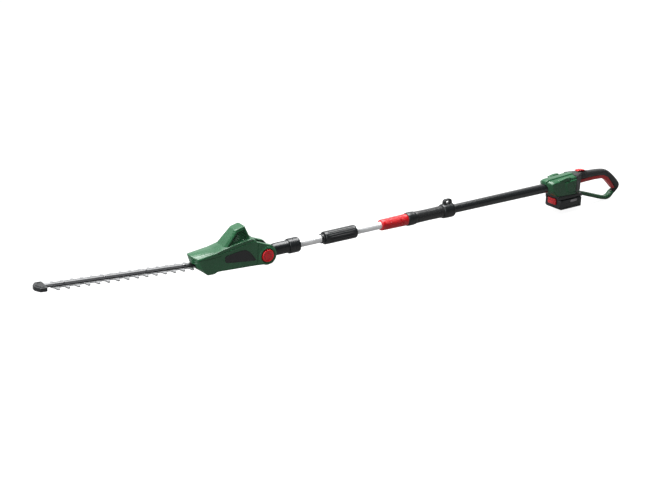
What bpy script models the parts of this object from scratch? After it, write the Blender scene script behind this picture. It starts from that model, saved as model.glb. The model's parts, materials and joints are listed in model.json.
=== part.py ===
"""Pole hedge trimmer: a cordless double-sided blade on a telescopic pole with a tilting head.

The pole lies along X: the blade tip is at the low-X end and the loop handle at the high-X end.
Z is up, and the origin is on the surface it lies on, under the middle of its length.
Sizes are in metres. A "station" is a distance along the pole's axis from the blade tip.
Shapes in the head use their own frame, with its origin on the tilt pivot and -X towards the tip.
"""
import math

import bmesh
import bpy
from mathutils import Matrix, Vector

# ---- Driving dimensions -----------------------------------------------------------------
LENGTH = 2.100            # blade tip to the back of the handle, telescope pushed in
AXIS_Z = 0.092            # height of the pole's axis over the surface it lies on
GAP = 0.0003              # space left between pieces that touch
PAST = 0.0020             # how far half shells reach past the middle before they are parted

PIVOT = 0.646             # station of the head's tilt pivot
HEAD_TILT = 4.4           # degrees that the blade points up from the pole
HEAD_HALF = 0.032         # half the width of the head's body
WALL = 0.0026             # plastic wall

BLADE_TIP = 0.604         # distances in front of the pivot: end of the toothed bars
BLADE_FROM = 0.214        # first tooth, just outside the nose
TOOTH_COUNT = 15          # teeth on each side
TOOTH_REACH = 0.030       # half the width over the teeth
BLADE_CORE = 0.014        # half the width of the solid strip
BLADE_THICK = 0.0020
UPPER_BLADE_Z = -0.0097   # underside of the upper blade
LOWER_BLADE_Z = -0.0120
STROKE = 0.008            # each blade moves this far either way
MOUTH_HALF = 0.0190       # opening in the nose that the blades come out of
MOUTH_Z = (-0.0160, -0.0012)
RAIL_HALF = 0.013
RAIL_Z = -0.0074
RAIL_THICK = 0.0030
BLADE_SCREWS = (0.240, 0.350, 0.460, 0.570)

GEAR_X = 0.118            # distance of the gear's axle in front of the pivot
GEAR_MODULE = 0.001
GEAR_TEETH = 48
PINION_TEETH = 12
MOTOR_X = GEAR_X - GEAR_MODULE * (GEAR_TEETH + PINION_TEETH) / 2
ECCENTRIC_R = 0.013
AXLE_R = 0.0029

EAR_R = 0.029
KNUCKLE_R = 0.024
KNUCKLE_HALF = 0.0162
PIN_R = 0.005
KNOB_R = 0.0182
POCKET_Y = 0.0245         # floor of the knob's pocket

TUBE_R = 0.011            # slim aluminium tubes
TUBE_BORE = 0.0095
FRONT_TUBE = (0.702, 0.915)
INNER_TUBE = (0.925, 1.745)
LEAD = (0.930, 1.820)     # coiled lead inside the tubes, modelled as the room its coils take
LEAD_R = 0.0062
OUTER_TUBE = (1.075, 1.800)
OUTER_BORE = 0.0123
OUTER_SLEEVE_R = 0.0136   # outer tube inside the grips
STEM_R = 0.0136           # round stem of the knuckle
STEM_LENGTH = 0.0500
STEM_END = 0.6985
SOCKET = (0.677, 0.757)
SOCKET_R = 0.0180
SOCKET_COLLAR = (0.728, 0.763)
COUPLING_COLLAR = (0.8395, 0.8505)
COUPLING_NUT = (0.8508, 0.9606)
COUPLING_SOCKET = (0.880, 0.955)
RED_COLLAR = (1.0538, 1.1507)
FLANGE = (1.151, 1.185)
GRIP = (1.1853, 1.2897)
STRAP_RING = (1.290, 1.334)

HOUSING_HALF = 0.030      # half the width of the rear housing
LOOP_HALF = 0.012         # half the width of the loop handle
CORE_HALF = 0.0097        # the loop's plastic core under the soft grip
TRIGGER_HALF = 0.0078
TRIGGER_PIVOT = (1.884, 0.002)

BATTERY = (1.780, 1.884)
BATTERY_HALF = 0.035
BATTERY_TOP = -0.0453
BATTERY_SPLIT = -0.0580
BATTERY_BOTTOM = -0.0790
CELL_R = 0.0090
CELL_PITCH = 0.0192

# ---- Scene, materials and frames --------------------------------------------------------
for old in list(bpy.data.objects):
    bpy.data.objects.remove(old, do_unlink=True)

MATERIALS = {
    "green": ((0.020, 0.085, 0.040), 0.45, 0.0),
    "black": ((0.020, 0.022, 0.023), 0.55, 0.0),
    "soft": ((0.025, 0.027, 0.028), 0.80, 0.0),
    "red": ((0.640, 0.020, 0.030), 0.40, 0.0),
    "aluminium": ((0.780, 0.790, 0.800), 0.30, 1.0),
    "steel": ((0.560, 0.570, 0.580), 0.30, 1.0),
    "dark_steel": ((0.060, 0.060, 0.065), 0.40, 1.0),
    "copper": ((0.550, 0.270, 0.130), 0.35, 1.0),
    "board": ((0.030, 0.140, 0.070), 0.60, 0.0),
    "cell": ((0.060, 0.200, 0.330), 0.50, 0.0),
}


def material(name):
    """Principled material with the part's colour, made once and shared."""
    found = bpy.data.materials.get(name)
    if found:
        return found
    colour, roughness, metallic = MATERIALS[name]
    made = bpy.data.materials.new(name)
    made.use_nodes = True
    shader = made.node_tree.nodes["Principled BSDF"]
    shader.inputs["Base Color"].default_value = (*colour, 1.0)
    shader.inputs["Roughness"].default_value = roughness
    shader.inputs["Metallic"].default_value = metallic
    return made


def frame(name, location, parent=None, tilt=0.0):
    """Empty that carries pieces; tilt is in degrees about Y."""
    empty = bpy.data.objects.new(name, None)
    bpy.context.collection.objects.link(empty)
    empty.parent = parent
    empty.location = location
    empty.rotation_euler = (0.0, math.radians(tilt), 0.0)
    return empty


POLE = frame("pole_frame", (-LENGTH / 2, 0.0, AXIS_Z))
HEAD = frame("head_frame", (PIVOT, 0.0, 0.0), POLE, HEAD_TILT)
GEAR_AXIS = frame("gear_axis", (-GEAR_X, 0.0, 0.0), HEAD)
MOTOR_AXIS = frame("motor_axis", (-MOTOR_X, 0.0, 0.0), HEAD)
TRIGGER_AXIS = frame("trigger_axis", (TRIGGER_PIVOT[0], 0.0, TRIGGER_PIVOT[1]), POLE)


# ---- Shape helpers ----------------------------------------------------------------------
def piece(name, bm, colour, parent, location=(0.0, 0.0, 0.0), smooth=False):
    """Turn a bmesh into a named object."""
    bmesh.ops.remove_doubles(bm, verts=bm.verts, dist=1e-6)
    bmesh.ops.recalc_face_normals(bm, faces=bm.faces)
    mesh = bpy.data.meshes.new(name)
    bm.to_mesh(mesh)
    bm.free()
    mesh.materials.append(material(colour))
    if smooth:
        mesh.shade_smooth()
        mesh.set_sharp_from_angle(angle=math.radians(35))
    made = bpy.data.objects.new(name, mesh)
    bpy.context.collection.objects.link(made)
    made.parent = parent
    made.location = location
    return made


def tool(bm, parent, location=(0.0, 0.0, 0.0)):
    """Hidden solid that another piece is cut by or joined with."""
    made = piece("tool", bm, "black", parent, location)
    made.hide_render = True
    made.display_type = "WIRE"
    return made


def boolean(target, other, operation):
    step = target.modifiers.new(operation.lower(), "BOOLEAN")
    step.operation = operation
    step.solver = "EXACT"
    step.object = other


def cut(target, *tools):
    for other in tools:
        boolean(target, other, "DIFFERENCE")


def join(target, *tools):
    for other in tools:
        boolean(target, other, "UNION")


def turned(profile, segments=24, axis="X", start=0.0, sweep=2 * math.pi):
    """Solid of revolution. The profile is (along, radius) points round a closed section, or
    from pole to pole where it begins and ends on the axis."""
    bm = bmesh.new()
    whole = abs(sweep - 2 * math.pi) < 1e-6
    steps = segments if whole else segments + 1
    rings = []
    for along, radius in profile:
        if radius < 1e-9:
            rings.append([bm.verts.new((along, 0.0, 0.0))])
            continue
        ring = []
        for step in range(steps):
            turn = start + sweep * step / segments
            ring.append(bm.verts.new((along, radius * math.cos(turn), radius * math.sin(turn))))
        rings.append(ring)
    hollow = len(rings[0]) > 1
    pairs = list(zip(rings, rings[1:]))
    if hollow:
        pairs.append((rings[-1], rings[0]))
    for low, high in pairs:
        for step in range(segments):
            following = (step + 1) % steps
            corners = [low[step % len(low)], low[following % len(low)],
                       high[following % len(high)], high[step % len(high)]]
            bm.faces.new(list(dict.fromkeys(corners)))
    if not whole:
        bm.faces.new([ring[0] for ring in rings])
        bm.faces.new([ring[-1] for ring in rings])
    turn_to = {"X": Matrix.Identity(3), "Y": Matrix.Rotation(math.pi / 2, 3, "Z"),
               "Z": Matrix.Rotation(-math.pi / 2, 3, "Y")}[axis]
    bmesh.ops.transform(bm, matrix=turn_to.to_4x4(), verts=bm.verts)
    return bm


def tube(start, end, radius, bore, **options):
    return turned([(start, radius), (end, radius), (end, bore), (start, bore)], **options)


def rod(start, end, radius, **options):
    return turned([(start, 0.0), (start, radius), (end, radius), (end, 0.0)], **options)


def loft(sections):
    """Solid through sections with equal point counts, closed at both ends."""
    bm = bmesh.new()
    rings = [[bm.verts.new(point) for point in section] for section in sections]
    count = len(rings[0])
    for low, high in zip(rings, rings[1:]):
        for step in range(count):
            following = (step + 1) % count
            bm.faces.new((low[step], low[following], high[following], high[step]))
    bm.faces.new(rings[0])
    bm.faces.new(rings[-1])
    bm.normal_update()
    bmesh.ops.triangulate(bm, faces=bm.faces)
    return bm


def part_at_middle(target, parent, side, x_low, x_high):
    """Cut away what reaches past the parting plane at y = 0."""
    limits = sorted((-0.010 * side, 0.5 * GAP * side))
    cut(target, tool(block(x_low, x_high, *limits, -0.200, 0.200), parent))


def inset(outline, distance):
    """Outline moved inwards by a distance, whichever way round it runs."""
    area = sum(a[0] * b[1] - b[0] * a[1] for a, b in zip(outline, outline[1:] + outline[:1]))
    sign = 1.0 if area > 0 else -1.0
    moved = []
    for index, corner in enumerate(outline):
        here = Vector(corner)
        before = (here - Vector(outline[index - 1])).normalized()
        after = (Vector(outline[(index + 1) % len(outline)]) - here).normalized()
        inward = Vector((-before.y, before.x)) * sign
        other = Vector((-after.y, after.x)) * sign
        middle = (inward + other).normalized()
        reach = distance / max(0.35, middle.dot(inward))
        moved.append(tuple(here + middle * reach))
    return moved


def across(outline, y_low, y_high, edge=0.0):
    """Prism of an (x, z) outline between two y planes; edge chamfers its high-|y| rim."""
    def at(points, y):
        return [(x, y, z) for x, z in points]
    if edge == 0.0:
        return loft([at(outline, y_low), at(outline, y_high)])
    small = inset(outline, edge)
    outer = y_high if abs(y_high) > abs(y_low) else y_low
    inner = y_low if outer == y_high else y_high
    shoulder = outer - math.copysign(edge, outer)
    if abs(inner + outer) < 1e-6:
        return loft([at(small, inner), at(outline, -shoulder), at(outline, shoulder), at(small, outer)])
    return loft([at(outline, inner), at(outline, shoulder), at(small, outer)])


def upright(outline, z_low, z_high):
    """Prism of an (x, y) outline between two heights."""
    return loft([[(x, y, z) for x, y in outline] for z in (z_low, z_high)])


def block(x_low, x_high, y_low, y_high, z_low, z_high):
    corners = [(x_low, z_low), (x_high, z_low), (x_high, z_high), (x_low, z_high)]
    return across(corners, y_low, y_high)


def arc(centre, radius, start, end, steps):
    """Points on an arc, angles in degrees."""
    points = []
    for step in range(steps + 1):
        turn = math.radians(start + (end - start) * step / steps)
        points.append((centre[0] + radius * math.cos(turn), centre[1] + radius * math.sin(turn)))
    return points


def gear_outline(teeth, module, turn=0.0):
    """Spur gear with straight-flanked teeth, slim enough to run free."""
    pitch_r = teeth * module / 2
    levels = ((pitch_r - 1.2 * module, 0.36), (pitch_r + 0.9 * module, 0.15))
    points = []
    for tooth in range(teeth):
        centre = turn + 2 * math.pi * tooth / teeth
        for (radius, share), side in ((levels[0], -1), (levels[1], -1), (levels[1], 1), (levels[0], 1)):
            angle = centre + side * share * math.pi * 1.6 / teeth
            points.append((radius * math.cos(angle), radius * math.sin(angle)))
    return points


def slot_outline(centre_x, half_length, half_width, steps=4):
    right = arc((centre_x + half_length - half_width, 0.0), half_width, -90, 90, steps)
    left = arc((centre_x - half_length + half_width, 0.0), half_width, 90, 270, steps)
    return right + left


def coil_spring(length, radius, wire, turns, axis):
    """Compression spring along an axis from the origin."""
    per_turn, sides = 8, 5
    bm = bmesh.new()
    rings = []
    for step in range(turns * per_turn + 1):
        turn = 2 * math.pi * step / per_turn
        out = Vector((0.0, math.cos(turn), math.sin(turn)))
        centre = out * radius + Vector((length * step / (turns * per_turn), 0.0, 0.0))
        ring = []
        for side in range(sides):
            lean = 2 * math.pi * side / sides
            point = centre + out * wire * math.cos(lean) + Vector((1.0, 0.0, 0.0)) * wire * math.sin(lean)
            ring.append(bm.verts.new(point))
        rings.append(ring)
    for low, high in zip(rings, rings[1:]):
        for side in range(sides):
            following = (side + 1) % sides
            bm.faces.new((low[side], low[following], high[following], high[side]))
    bm.faces.new(rings[0])
    bm.faces.new(rings[-1])
    turn_to = {"Y": Matrix.Rotation(math.pi / 2, 4, "Z"), "Z": Matrix.Rotation(-math.pi / 2, 4, "Y")}[axis]
    bmesh.ops.transform(bm, matrix=turn_to, verts=bm.verts)
    return bm


# ---- Head -------------------------------------------------------------------------------
def body_section(width_share):
    """Side outline of the head's body; the share runs from 0 at the middle to 1 at the side."""
    drop = width_share ** 2
    nose = -0.228 + 0.014 * drop
    return [(nose, 0.023 - 0.008 * drop), (-0.154, 0.029 - 0.009 * drop), (-0.131, 0.040 - 0.003 * drop),
            (-0.052, 0.055 - 0.004 * drop), (-0.036, 0.050 - 0.004 * drop), (-0.0305, 0.030),
            (-0.0305, -0.0250), (-0.153, -0.0270), (-0.165, -0.0325), (-0.183, -0.0330),
            (nose + 0.012, -0.0120)]


def hump_section(y):
    """Side outline of the motor hump at a distance from the middle."""
    top = {0.0: (0.089, 0.095), 0.0155: (0.088, 0.094), 0.0195: (0.080, 0.087),
           0.0245: (0.058, 0.062), 0.0275: (0.038, 0.044)}[y]
    front = -0.131 + 0.68 * (top[0] - 0.038)
    rear = -0.056 - 0.52 * (top[1] - 0.050)
    return [(-0.131, 0.030), (front, top[0]), (rear, top[1]), (-0.056, 0.030)]


def ear_outline(radius):
    """Round ear that runs forwards into the body."""
    return arc((0.0, 0.0), radius, -64, 84, 12) + [(-0.034, 0.036), (-0.034, -0.0250)]


def head_shell(name, side):
    """One half of the head casing; side is 1 for left and -1 for right."""
    outer = HEAD_HALF * side
    sections = []
    for y_share in (0.0, 0.4, 0.75, 1.0):
        outline = body_section(y_share)
        if y_share == 1.0:
            outline = inset(outline, 0.0025)
        y = outer * y_share if y_share else -PAST * side
        sections.append([(x, y, z) for x, z in outline])
    shell = piece(name, loft(sections), "green", HEAD)
    humps = []
    hollows = []
    for y in (0.0, 0.0155, 0.0195, 0.0245, 0.0275):
        outline = hump_section(y)
        humps.append([(x, (y or -1.1 * PAST) * side, z) for x, z in outline])
        y_hollow = -1.3 * PAST if y == 0.0 else y - 1.1 * WALL
        hollows.append([(x, y_hollow * side, z) for x, z in inset(outline, WALL)])
    for hollow in hollows:
        hollow[0] = (hollow[0][0], hollow[0][1], 0.028)
        hollow[3] = (hollow[3][0], hollow[3][1], 0.028)
    join(shell, tool(loft(humps), HEAD))
    join(shell, tool(across(ear_outline(EAR_R), (KNUCKLE_HALF + GAP) * side, outer, 0.0012), HEAD))
    cavity = [[(x, y * side, z) for x, z in inset(body_section(share), WALL)]
              for y, share in ((-1.5 * PAST, 0.0), (0.014, 0.4), (HEAD_HALF - WALL, 1.0))]
    cut(shell, tool(loft(cavity), HEAD))
    cut(shell, tool(loft(hollows), HEAD))
    # knuckle room, knob pocket, pin bore, blade mouth
    cut(shell, tool(turned([((KNUCKLE_HALF + GAP) * side, 0.0), ((KNUCKLE_HALF + GAP) * side, 0.0303),
                            (-0.004 * side, 0.0303), (-0.004 * side, 0.0)], axis="Y"), HEAD))
    cut(shell, tool(rod(POCKET_Y * side, 0.040 * side, KNOB_R + 0.0008, axis="Y"), HEAD))
    cut(shell, tool(rod(0.010 * side, 0.030 * side, PIN_R + GAP, axis="Y", segments=16), HEAD))
    cut(shell, tool(block(-0.240, -0.180, -0.005 * side, MOUTH_HALF * side, *MOUTH_Z), HEAD))
    for louvre in range(4):
        height = 0.0493 + 0.0083 * louvre
        front = -0.1077 + 0.0047 * louvre
        cut(shell, tool(block(front, -0.070 + 0.001 * louvre, 0.012 * side, 0.034 * side,
                              height, height + 0.0028), HEAD))
    part_at_middle(shell, HEAD, side, -0.300, 0.100)
    return shell


for shell_name, shell_side in (("head_shell_left", 1), ("head_shell_right", -1)):
    head_shell(shell_name, shell_side)

BADGE = [(-0.131, 0.013), (-0.132, -0.003), (-0.040, -0.009), (-0.046, 0.004),
         (-0.062, 0.021), (-0.076, 0.0275), (-0.090, 0.0270)]
for badge_name, badge_side in (("side_badge_left", 1), ("side_badge_right", -1)):
    badge_y = (HEAD_HALF + GAP) * badge_side
    piece(badge_name, across(BADGE, badge_y, badge_y + 0.0012 * badge_side), "black", HEAD)

# drive: motor in the hump, pinion, gear with two eccentric discs
can_profile = [(0.0150, 0.0040), (0.0150, 0.0172), (0.0600, 0.0172), (0.0600, 0.0030),
               (0.0585, 0.0030), (0.0585, 0.0158), (0.0165, 0.0158), (0.0165, 0.0040)]
piece("motor_can", turned(can_profile, axis="Z"), "steel", MOTOR_AXIS, smooth=True)
armature_profile = [(0.0005, 0.0), (0.0005, 0.0016), (0.0200, 0.0016), (0.0210, 0.0135), (0.0500, 0.0135),
                    (0.0510, 0.0060), (0.0570, 0.0060), (0.0572, 0.0016), (0.0690, 0.0016), (0.0690, 0.0)]
piece("motor_armature", turned(armature_profile, axis="Z", segments=20), "copper", MOTOR_AXIS, smooth=True)
pinion = piece("motor_pinion",
               upright(gear_outline(PINION_TEETH, GEAR_MODULE, math.pi / PINION_TEETH), 0.0010, 0.0078),
               "steel", MOTOR_AXIS)
cut(pinion, tool(rod(-0.001, 0.020, 0.0016 + GAP, axis="Z", segments=12), MOTOR_AXIS))
fan = piece("cooling_fan", upright(gear_outline(7, 0.0034), 0.0625, 0.0672), "black", MOTOR_AXIS)
cut(fan, tool(rod(0.060, 0.070, 0.0016 + GAP, axis="Z", segments=12), MOTOR_AXIS))

gear = piece("drive_gear", upright(gear_outline(GEAR_TEETH, GEAR_MODULE), 0.0015, 0.0072), "steel", GEAR_AXIS)
join(gear, tool(rod(-0.0096, 0.0030, ECCENTRIC_R, axis="Z"), GEAR_AXIS, (STROKE, 0.0, 0.0)))
join(gear, tool(rod(-0.0119, -0.0090, ECCENTRIC_R, axis="Z"), GEAR_AXIS, (-STROKE, 0.0, 0.0)))
cut(gear, tool(rod(-0.020, 0.020, AXLE_R + GAP, axis="Z", segments=16), GEAR_AXIS))
piece("gear_axle", turned([(-0.0165, 0.0), (-0.0165, AXLE_R), (0.0118, AXLE_R), (0.0118, 0.0)],
                          axis="Z", segments=16), "steel", GEAR_AXIS, smooth=True)

BOX_X = (-0.147, -0.066)
BOX_HALF = 0.0288
u_section = [(-BOX_HALF, -0.0137), (-BOX_HALF, 0.0115), (BOX_HALF, 0.0115), (BOX_HALF, -0.0137),
             (BOX_HALF - 0.0018, -0.0137), (BOX_HALF - 0.0018, 0.0085), (0.0018 - BOX_HALF, 0.0085),
             (0.0018 - BOX_HALF, -0.0137)]
housing = piece("gear_housing", loft([[(x, y, z) for y, z in u_section] for x in BOX_X]), "aluminium", HEAD)
cut(housing, tool(rod(0.000, 0.020, 0.0072, axis="Z", segments=16), MOTOR_AXIS))
cut(housing, tool(rod(0.000, 0.020, AXLE_R + GAP, axis="Z", segments=16), GEAR_AXIS))
base = piece("gearbox_base", block(*BOX_X, -BOX_HALF, BOX_HALF, -0.0168, -0.0140), "aluminium", HEAD)
cut(base, tool(rod(-0.020, -0.010, AXLE_R + GAP, axis="Z", segments=16), GEAR_AXIS))


# ---- Cutting bar ------------------------------------------------------------------------
def blade_outline():
    """Toothed bar with a yoke plate behind it, as (x, y) points."""
    pitch = (BLADE_TIP - BLADE_FROM) / TOOTH_COUNT
    side = []
    for tooth in range(TOOTH_COUNT):
        centre = -BLADE_TIP + pitch * (tooth + 0.5)
        side += [(centre - 0.0070, BLADE_CORE), (centre - 0.0026, TOOTH_REACH),
                 (centre + 0.0030, TOOTH_REACH), (centre + 0.0062, BLADE_CORE)]
    side += [(-0.158, BLADE_CORE), (-0.152, 0.0262), (-0.081, 0.0262)]
    front = [(-BLADE_TIP, 0.008)]
    whole = front + side
    return whole + [(x, -y) for x, y in reversed(whole)]


def blade(name, z_low):
    made = piece(name, upright(blade_outline(), z_low, z_low + BLADE_THICK), "steel", HEAD)
    window = 0.0216
    reach = ECCENTRIC_R + 2 * STROKE + 0.0008
    cut(made, tool(block(-GEAR_X - reach, -GEAR_X + reach, -window, window, -0.020, 0.0), HEAD))
    for screw in BLADE_SCREWS:
        slot = slot_outline(-screw, STROKE + 0.0031, 0.0031)
        cut(made, tool(upright(slot, -0.020, 0.0), HEAD))
    return made


blade("upper_blade", UPPER_BLADE_Z)
blade("lower_blade", LOWER_BLADE_Z)

rail = piece("blade_rail", upright([(-0.623, -0.0105), (-0.618, -RAIL_HALF), (-0.1475, -RAIL_HALF),
                                    (-0.1475, RAIL_HALF), (-0.618, RAIL_HALF), (-0.623, 0.0105)],
                                   RAIL_Z, RAIL_Z + RAIL_THICK), "dark_steel", HEAD)
screw_profile = [(-0.0145, 0.0), (-0.0145, 0.0046), (-0.0123, 0.0046), (-0.0123, 0.0028),
                 (-0.0041, 0.0028), (-0.0041, 0.0046), (-0.0019, 0.0040), (-0.0019, 0.0)]
for number, screw_x in enumerate(BLADE_SCREWS, 1):
    cut(rail, tool(rod(-0.020, 0.0, 0.0031, axis="Z", segments=12), HEAD, (-screw_x, 0.0, 0.0)))
    piece(f"blade_screw_{number}", turned(screw_profile, axis="Z", segments=12), "steel", HEAD,
          (-screw_x, 0.0, 0.0), smooth=True)

guard_outline = [(-0.647, -0.006), (-0.645, -0.012), (-0.628, -0.030), (-0.606, -0.030), (-0.6145, -0.0165),
                 (-0.6145, 0.0165), (-0.606, 0.030), (-0.628, 0.030), (-0.645, 0.012), (-0.647, 0.006)]
guard = piece("tip_guard", upright(guard_outline, -0.0135, -0.0025), "black", HEAD)
cut(guard, tool(block(-0.6236, -0.600, -RAIL_HALF - GAP, RAIL_HALF + GAP, RAIL_Z - GAP,
                      RAIL_Z + RAIL_THICK + GAP), HEAD))

# ---- Tilt joint -------------------------------------------------------------------------
piece("pivot_shaft", turned([(-0.0243, 0.0), (-0.0243, PIN_R), (0.0243, PIN_R), (0.0243, 0.0)],
                            axis="Y", segments=16), "steel", HEAD, smooth=True)
for knob_side, side_name in ((1, "left"), (-1, "right")):
    knob_profile = [(0.0295, 0.0), (0.0295, KNOB_R), (0.0355, KNOB_R), (0.0370, KNOB_R - 0.002),
                    (0.0362, 0.0120), (0.0362, 0.0)]
    piece(f"tilt_button_{side_name}",
          turned([(y * knob_side, r) for y, r in knob_profile], axis="Y", segments=28),
          "red", HEAD, smooth=True)
    spring = coil_spring(0.0034, 0.0085, 0.0004, 3, "Y")
    if knob_side < 0:
        bmesh.ops.transform(spring, matrix=Matrix.Rotation(math.pi, 4, "Z"), verts=spring.verts)
    piece(f"tilt_spring_{side_name}", spring, "steel", HEAD, (0.0, 0.0252 * knob_side, 0.0), smooth=True)

# The knuckle's disc turns between the ears; its round stem is clamped in the socket shells.
knuckle = piece("pivot_knuckle", rod(-KNUCKLE_HALF, KNUCKLE_HALF, KNUCKLE_R, axis="Y", segments=28),
                "black", POLE, (PIVOT, 0.0, 0.0))
join(knuckle, tool(rod(0.0, STEM_LENGTH, STEM_R), POLE, (PIVOT, 0.0, 0.0)))
cut(knuckle, tool(rod(-0.020, 0.020, PIN_R + GAP, axis="Y", segments=16), POLE, (PIVOT, 0.0, 0.0)))

# ---- Front of the pole ------------------------------------------------------------------
socket_profile = [(SOCKET[0], 0.0150), (SOCKET[0] + 0.0030, 0.0172), (SOCKET[0] + 0.0230, SOCKET_R),
                  (SOCKET[1], SOCKET_R), (SOCKET[1], TUBE_R + GAP), (STEM_END, TUBE_R + GAP),
                  (STEM_END, STEM_R + GAP), (SOCKET[0], STEM_R + GAP)]
for shell_name, turn, lift in (("socket_shell_upper", 0.0, 0.5), ("socket_shell_lower", math.pi, -0.5)):
    piece(shell_name, turned(socket_profile, segments=12, start=turn, sweep=math.pi), "black", POLE,
          (0.0, 0.0, lift * GAP), smooth=True)
piece("socket_collar", turned([(SOCKET_COLLAR[0], 0.0200), (SOCKET_COLLAR[0] + 0.0040, 0.0220),
                               (SOCKET_COLLAR[1] - 0.0040, 0.0220), (SOCKET_COLLAR[1], 0.0195),
                               (SOCKET_COLLAR[1], SOCKET_R + 0.0004), (SOCKET_COLLAR[0], SOCKET_R + 0.0004)]),
      "black", POLE, smooth=True)
piece("front_tube", tube(*FRONT_TUBE, TUBE_R, TUBE_BORE), "aluminium", POLE, smooth=True)
piece("coupling_collar", tube(*COUPLING_COLLAR, 0.0138, TUBE_R + GAP), "black", POLE, smooth=True)
nut_profile = [(COUPLING_NUT[0], 0.0185), (0.8540, 0.0192), (0.9500, 0.0200), (0.9580, 0.0197),
               (COUPLING_NUT[1], 0.0180), (COUPLING_NUT[1], 0.0115), (0.9575, 0.0115), (0.9575, 0.0165),
               (0.8550, 0.0165), (COUPLING_NUT[0], 0.0115)]
piece("coupling_nut", turned(nut_profile), "black", POLE, smooth=True)
piece("coupling_socket", tube(*COUPLING_SOCKET, 0.0160, TUBE_R + GAP), "black", POLE, smooth=True)
piece("inner_tube", tube(*INNER_TUBE, TUBE_R, TUBE_BORE), "aluminium", POLE, smooth=True)
piece("guide_bush", tube(1.7120, 1.7400, 0.01195, TUBE_R + GAP), "black", POLE, smooth=True)
piece("coiled_lead", rod(*LEAD, LEAD_R, segments=12), "black", POLE, smooth=True)

# ---- Telescope clamp, front grip and strap ring -----------------------------------------
collet = piece("clamp_collet", tube(1.0566, 1.0745, 0.0134, TUBE_R + GAP), "black", POLE)
cut(collet, tool(block(1.050, 1.080, -0.0015, 0.0015, 0.0, 0.020), POLE))
red_profile = [(RED_COLLAR[0], 0.0150), (1.0560, 0.0165), (1.1300, 0.0176), (1.1470, 0.0183),
               (RED_COLLAR[1], 0.0180), (RED_COLLAR[1], 0.0140), (1.0562, 0.0140), (1.0562, 0.0114),
               (RED_COLLAR[0], 0.0114)]
piece("telescope_collar", turned(red_profile), "red", POLE, smooth=True)
outer_profile = [(OUTER_TUBE[0], OUTER_SLEEVE_R), (1.3345, OUTER_SLEEVE_R), (1.3350, 0.0140),
                 (1.7600, 0.0161), (OUTER_TUBE[1], 0.0161), (OUTER_TUBE[1], OUTER_BORE),
                 (OUTER_TUBE[0], OUTER_BORE)]
piece("outer_tube", turned(outer_profile), "black", POLE, smooth=True)
SLEEVE_BORE = OUTER_SLEEVE_R + GAP
piece("grip_flange", turned([(FLANGE[0], 0.0185), (1.1530, 0.0205), (1.1700, 0.0212), (FLANGE[1], 0.0190),
                             (FLANGE[1], SLEEVE_BORE), (FLANGE[0], SLEEVE_BORE)]), "black", POLE, smooth=True)
piece("front_grip", turned([(GRIP[0], 0.0180), (1.1900, 0.0186), (1.2600, 0.0184), (1.2850, 0.0190),
                            (GRIP[1], 0.0185), (GRIP[1], SLEEVE_BORE), (GRIP[0], SLEEVE_BORE)]),
      "soft", POLE, smooth=True)
ring = piece("strap_ring", turned([(STRAP_RING[0], 0.0200), (1.2940, 0.0228), (1.3250, 0.0236),
                                   (STRAP_RING[1], 0.0200), (STRAP_RING[1], SLEEVE_BORE),
                                   (STRAP_RING[0], SLEEVE_BORE)]), "black", POLE)
eyelet = [(1.296, 0.018), (1.298, 0.0345), (1.303, 0.0375), (1.322, 0.0375), (1.327, 0.0345), (1.330, 0.018)]
join(ring, tool(across(eyelet, -0.0050, 0.0050, 0.0010), POLE))
cut(ring, tool(across(slot_outline(1.3125, 0.0090, 0.0042), -0.010, 0.010), POLE, (0.0, 0.0, 0.0290)))

# ---- Rear housing and loop handle -------------------------------------------------------
BODY = [(1.7270, 0.0240), (1.7400, 0.0295), (1.8480, 0.0360), (1.8930, 0.0340), (1.8930, 0.0020),
        (1.8960, -0.0330), (1.8860, -0.0440), (1.7950, -0.0430), (1.7760, -0.0330), (1.7400, -0.0120),
        (1.7270, -0.0060)]
LOWER_BAR = [(1.8900, -0.0330), (1.9350, -0.0460), (1.9720, -0.0580), (2.0090, -0.0700), (2.0400, -0.0780),
             (2.0520, -0.0740), (2.0640, -0.0640), (2.0740, -0.0730), (2.0650, -0.0830), (2.0530, -0.0900),
             (2.0400, -0.0920), (2.0090, -0.0850), (1.9720, -0.0730), (1.9350, -0.0610), (1.8860, -0.0440)]
# soft grip: outer line from the housing to the bottom of the loop, then back along the inside
GRIP_OUT = [(1.8500, 0.0368), (1.8900, 0.0362), (1.9380, 0.0300), (1.9700, 0.0280), (2.0120, 0.0240),
            (2.0400, 0.0130), (2.0680, -0.0080), (2.0920, -0.0300), (2.1000, -0.0430), (2.0960, -0.0550),
            (2.0755, -0.0740)]
GRIP_IN = [(2.0650, -0.0640), (2.0790, -0.0530), (2.0370, -0.0110), (2.0120, 0.0010), (1.9700, 0.0045),
           (1.8950, 0.0040), (1.8500, 0.0040)]
# core under the grip: the same line 2.3 mm further in, run on into the body and the lower bar
CORE = [(1.8400, 0.0340)] + inset(GRIP_OUT + GRIP_IN, 0.0023)[1:10] + [
    (2.0690, -0.0790), (2.0590, -0.0710), (2.0790, -0.0540), (2.0385, -0.0093), (2.0126, 0.0033),
    (1.9700, 0.0068), (1.8950, 0.0063), (1.8400, 0.0063)]
GRIP_ROOM_UNDER = [(2.0700, -0.0860), (2.0560, -0.0740), (2.0500, -0.0650), (2.0200, -0.0250),
                   (2.0080, -0.0150), (1.9700, -0.0100), (1.8300, -0.0100)]
TRIGGER_BACK = [(2.0780, -0.0530), (2.0364, -0.0117), (2.0117, 0.0004), (1.9700, 0.0038), (1.8940, 0.0034),
                (1.8900, 0.0070), (1.8790, 0.0070)]
TRIGGER_FACE = [(1.8790, -0.0030), (1.8980, -0.0050), (1.9300, -0.0040), (1.9700, -0.0035), (2.0120, -0.0070),
                (2.0310, -0.0180), (2.0700, -0.0560)]
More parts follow.
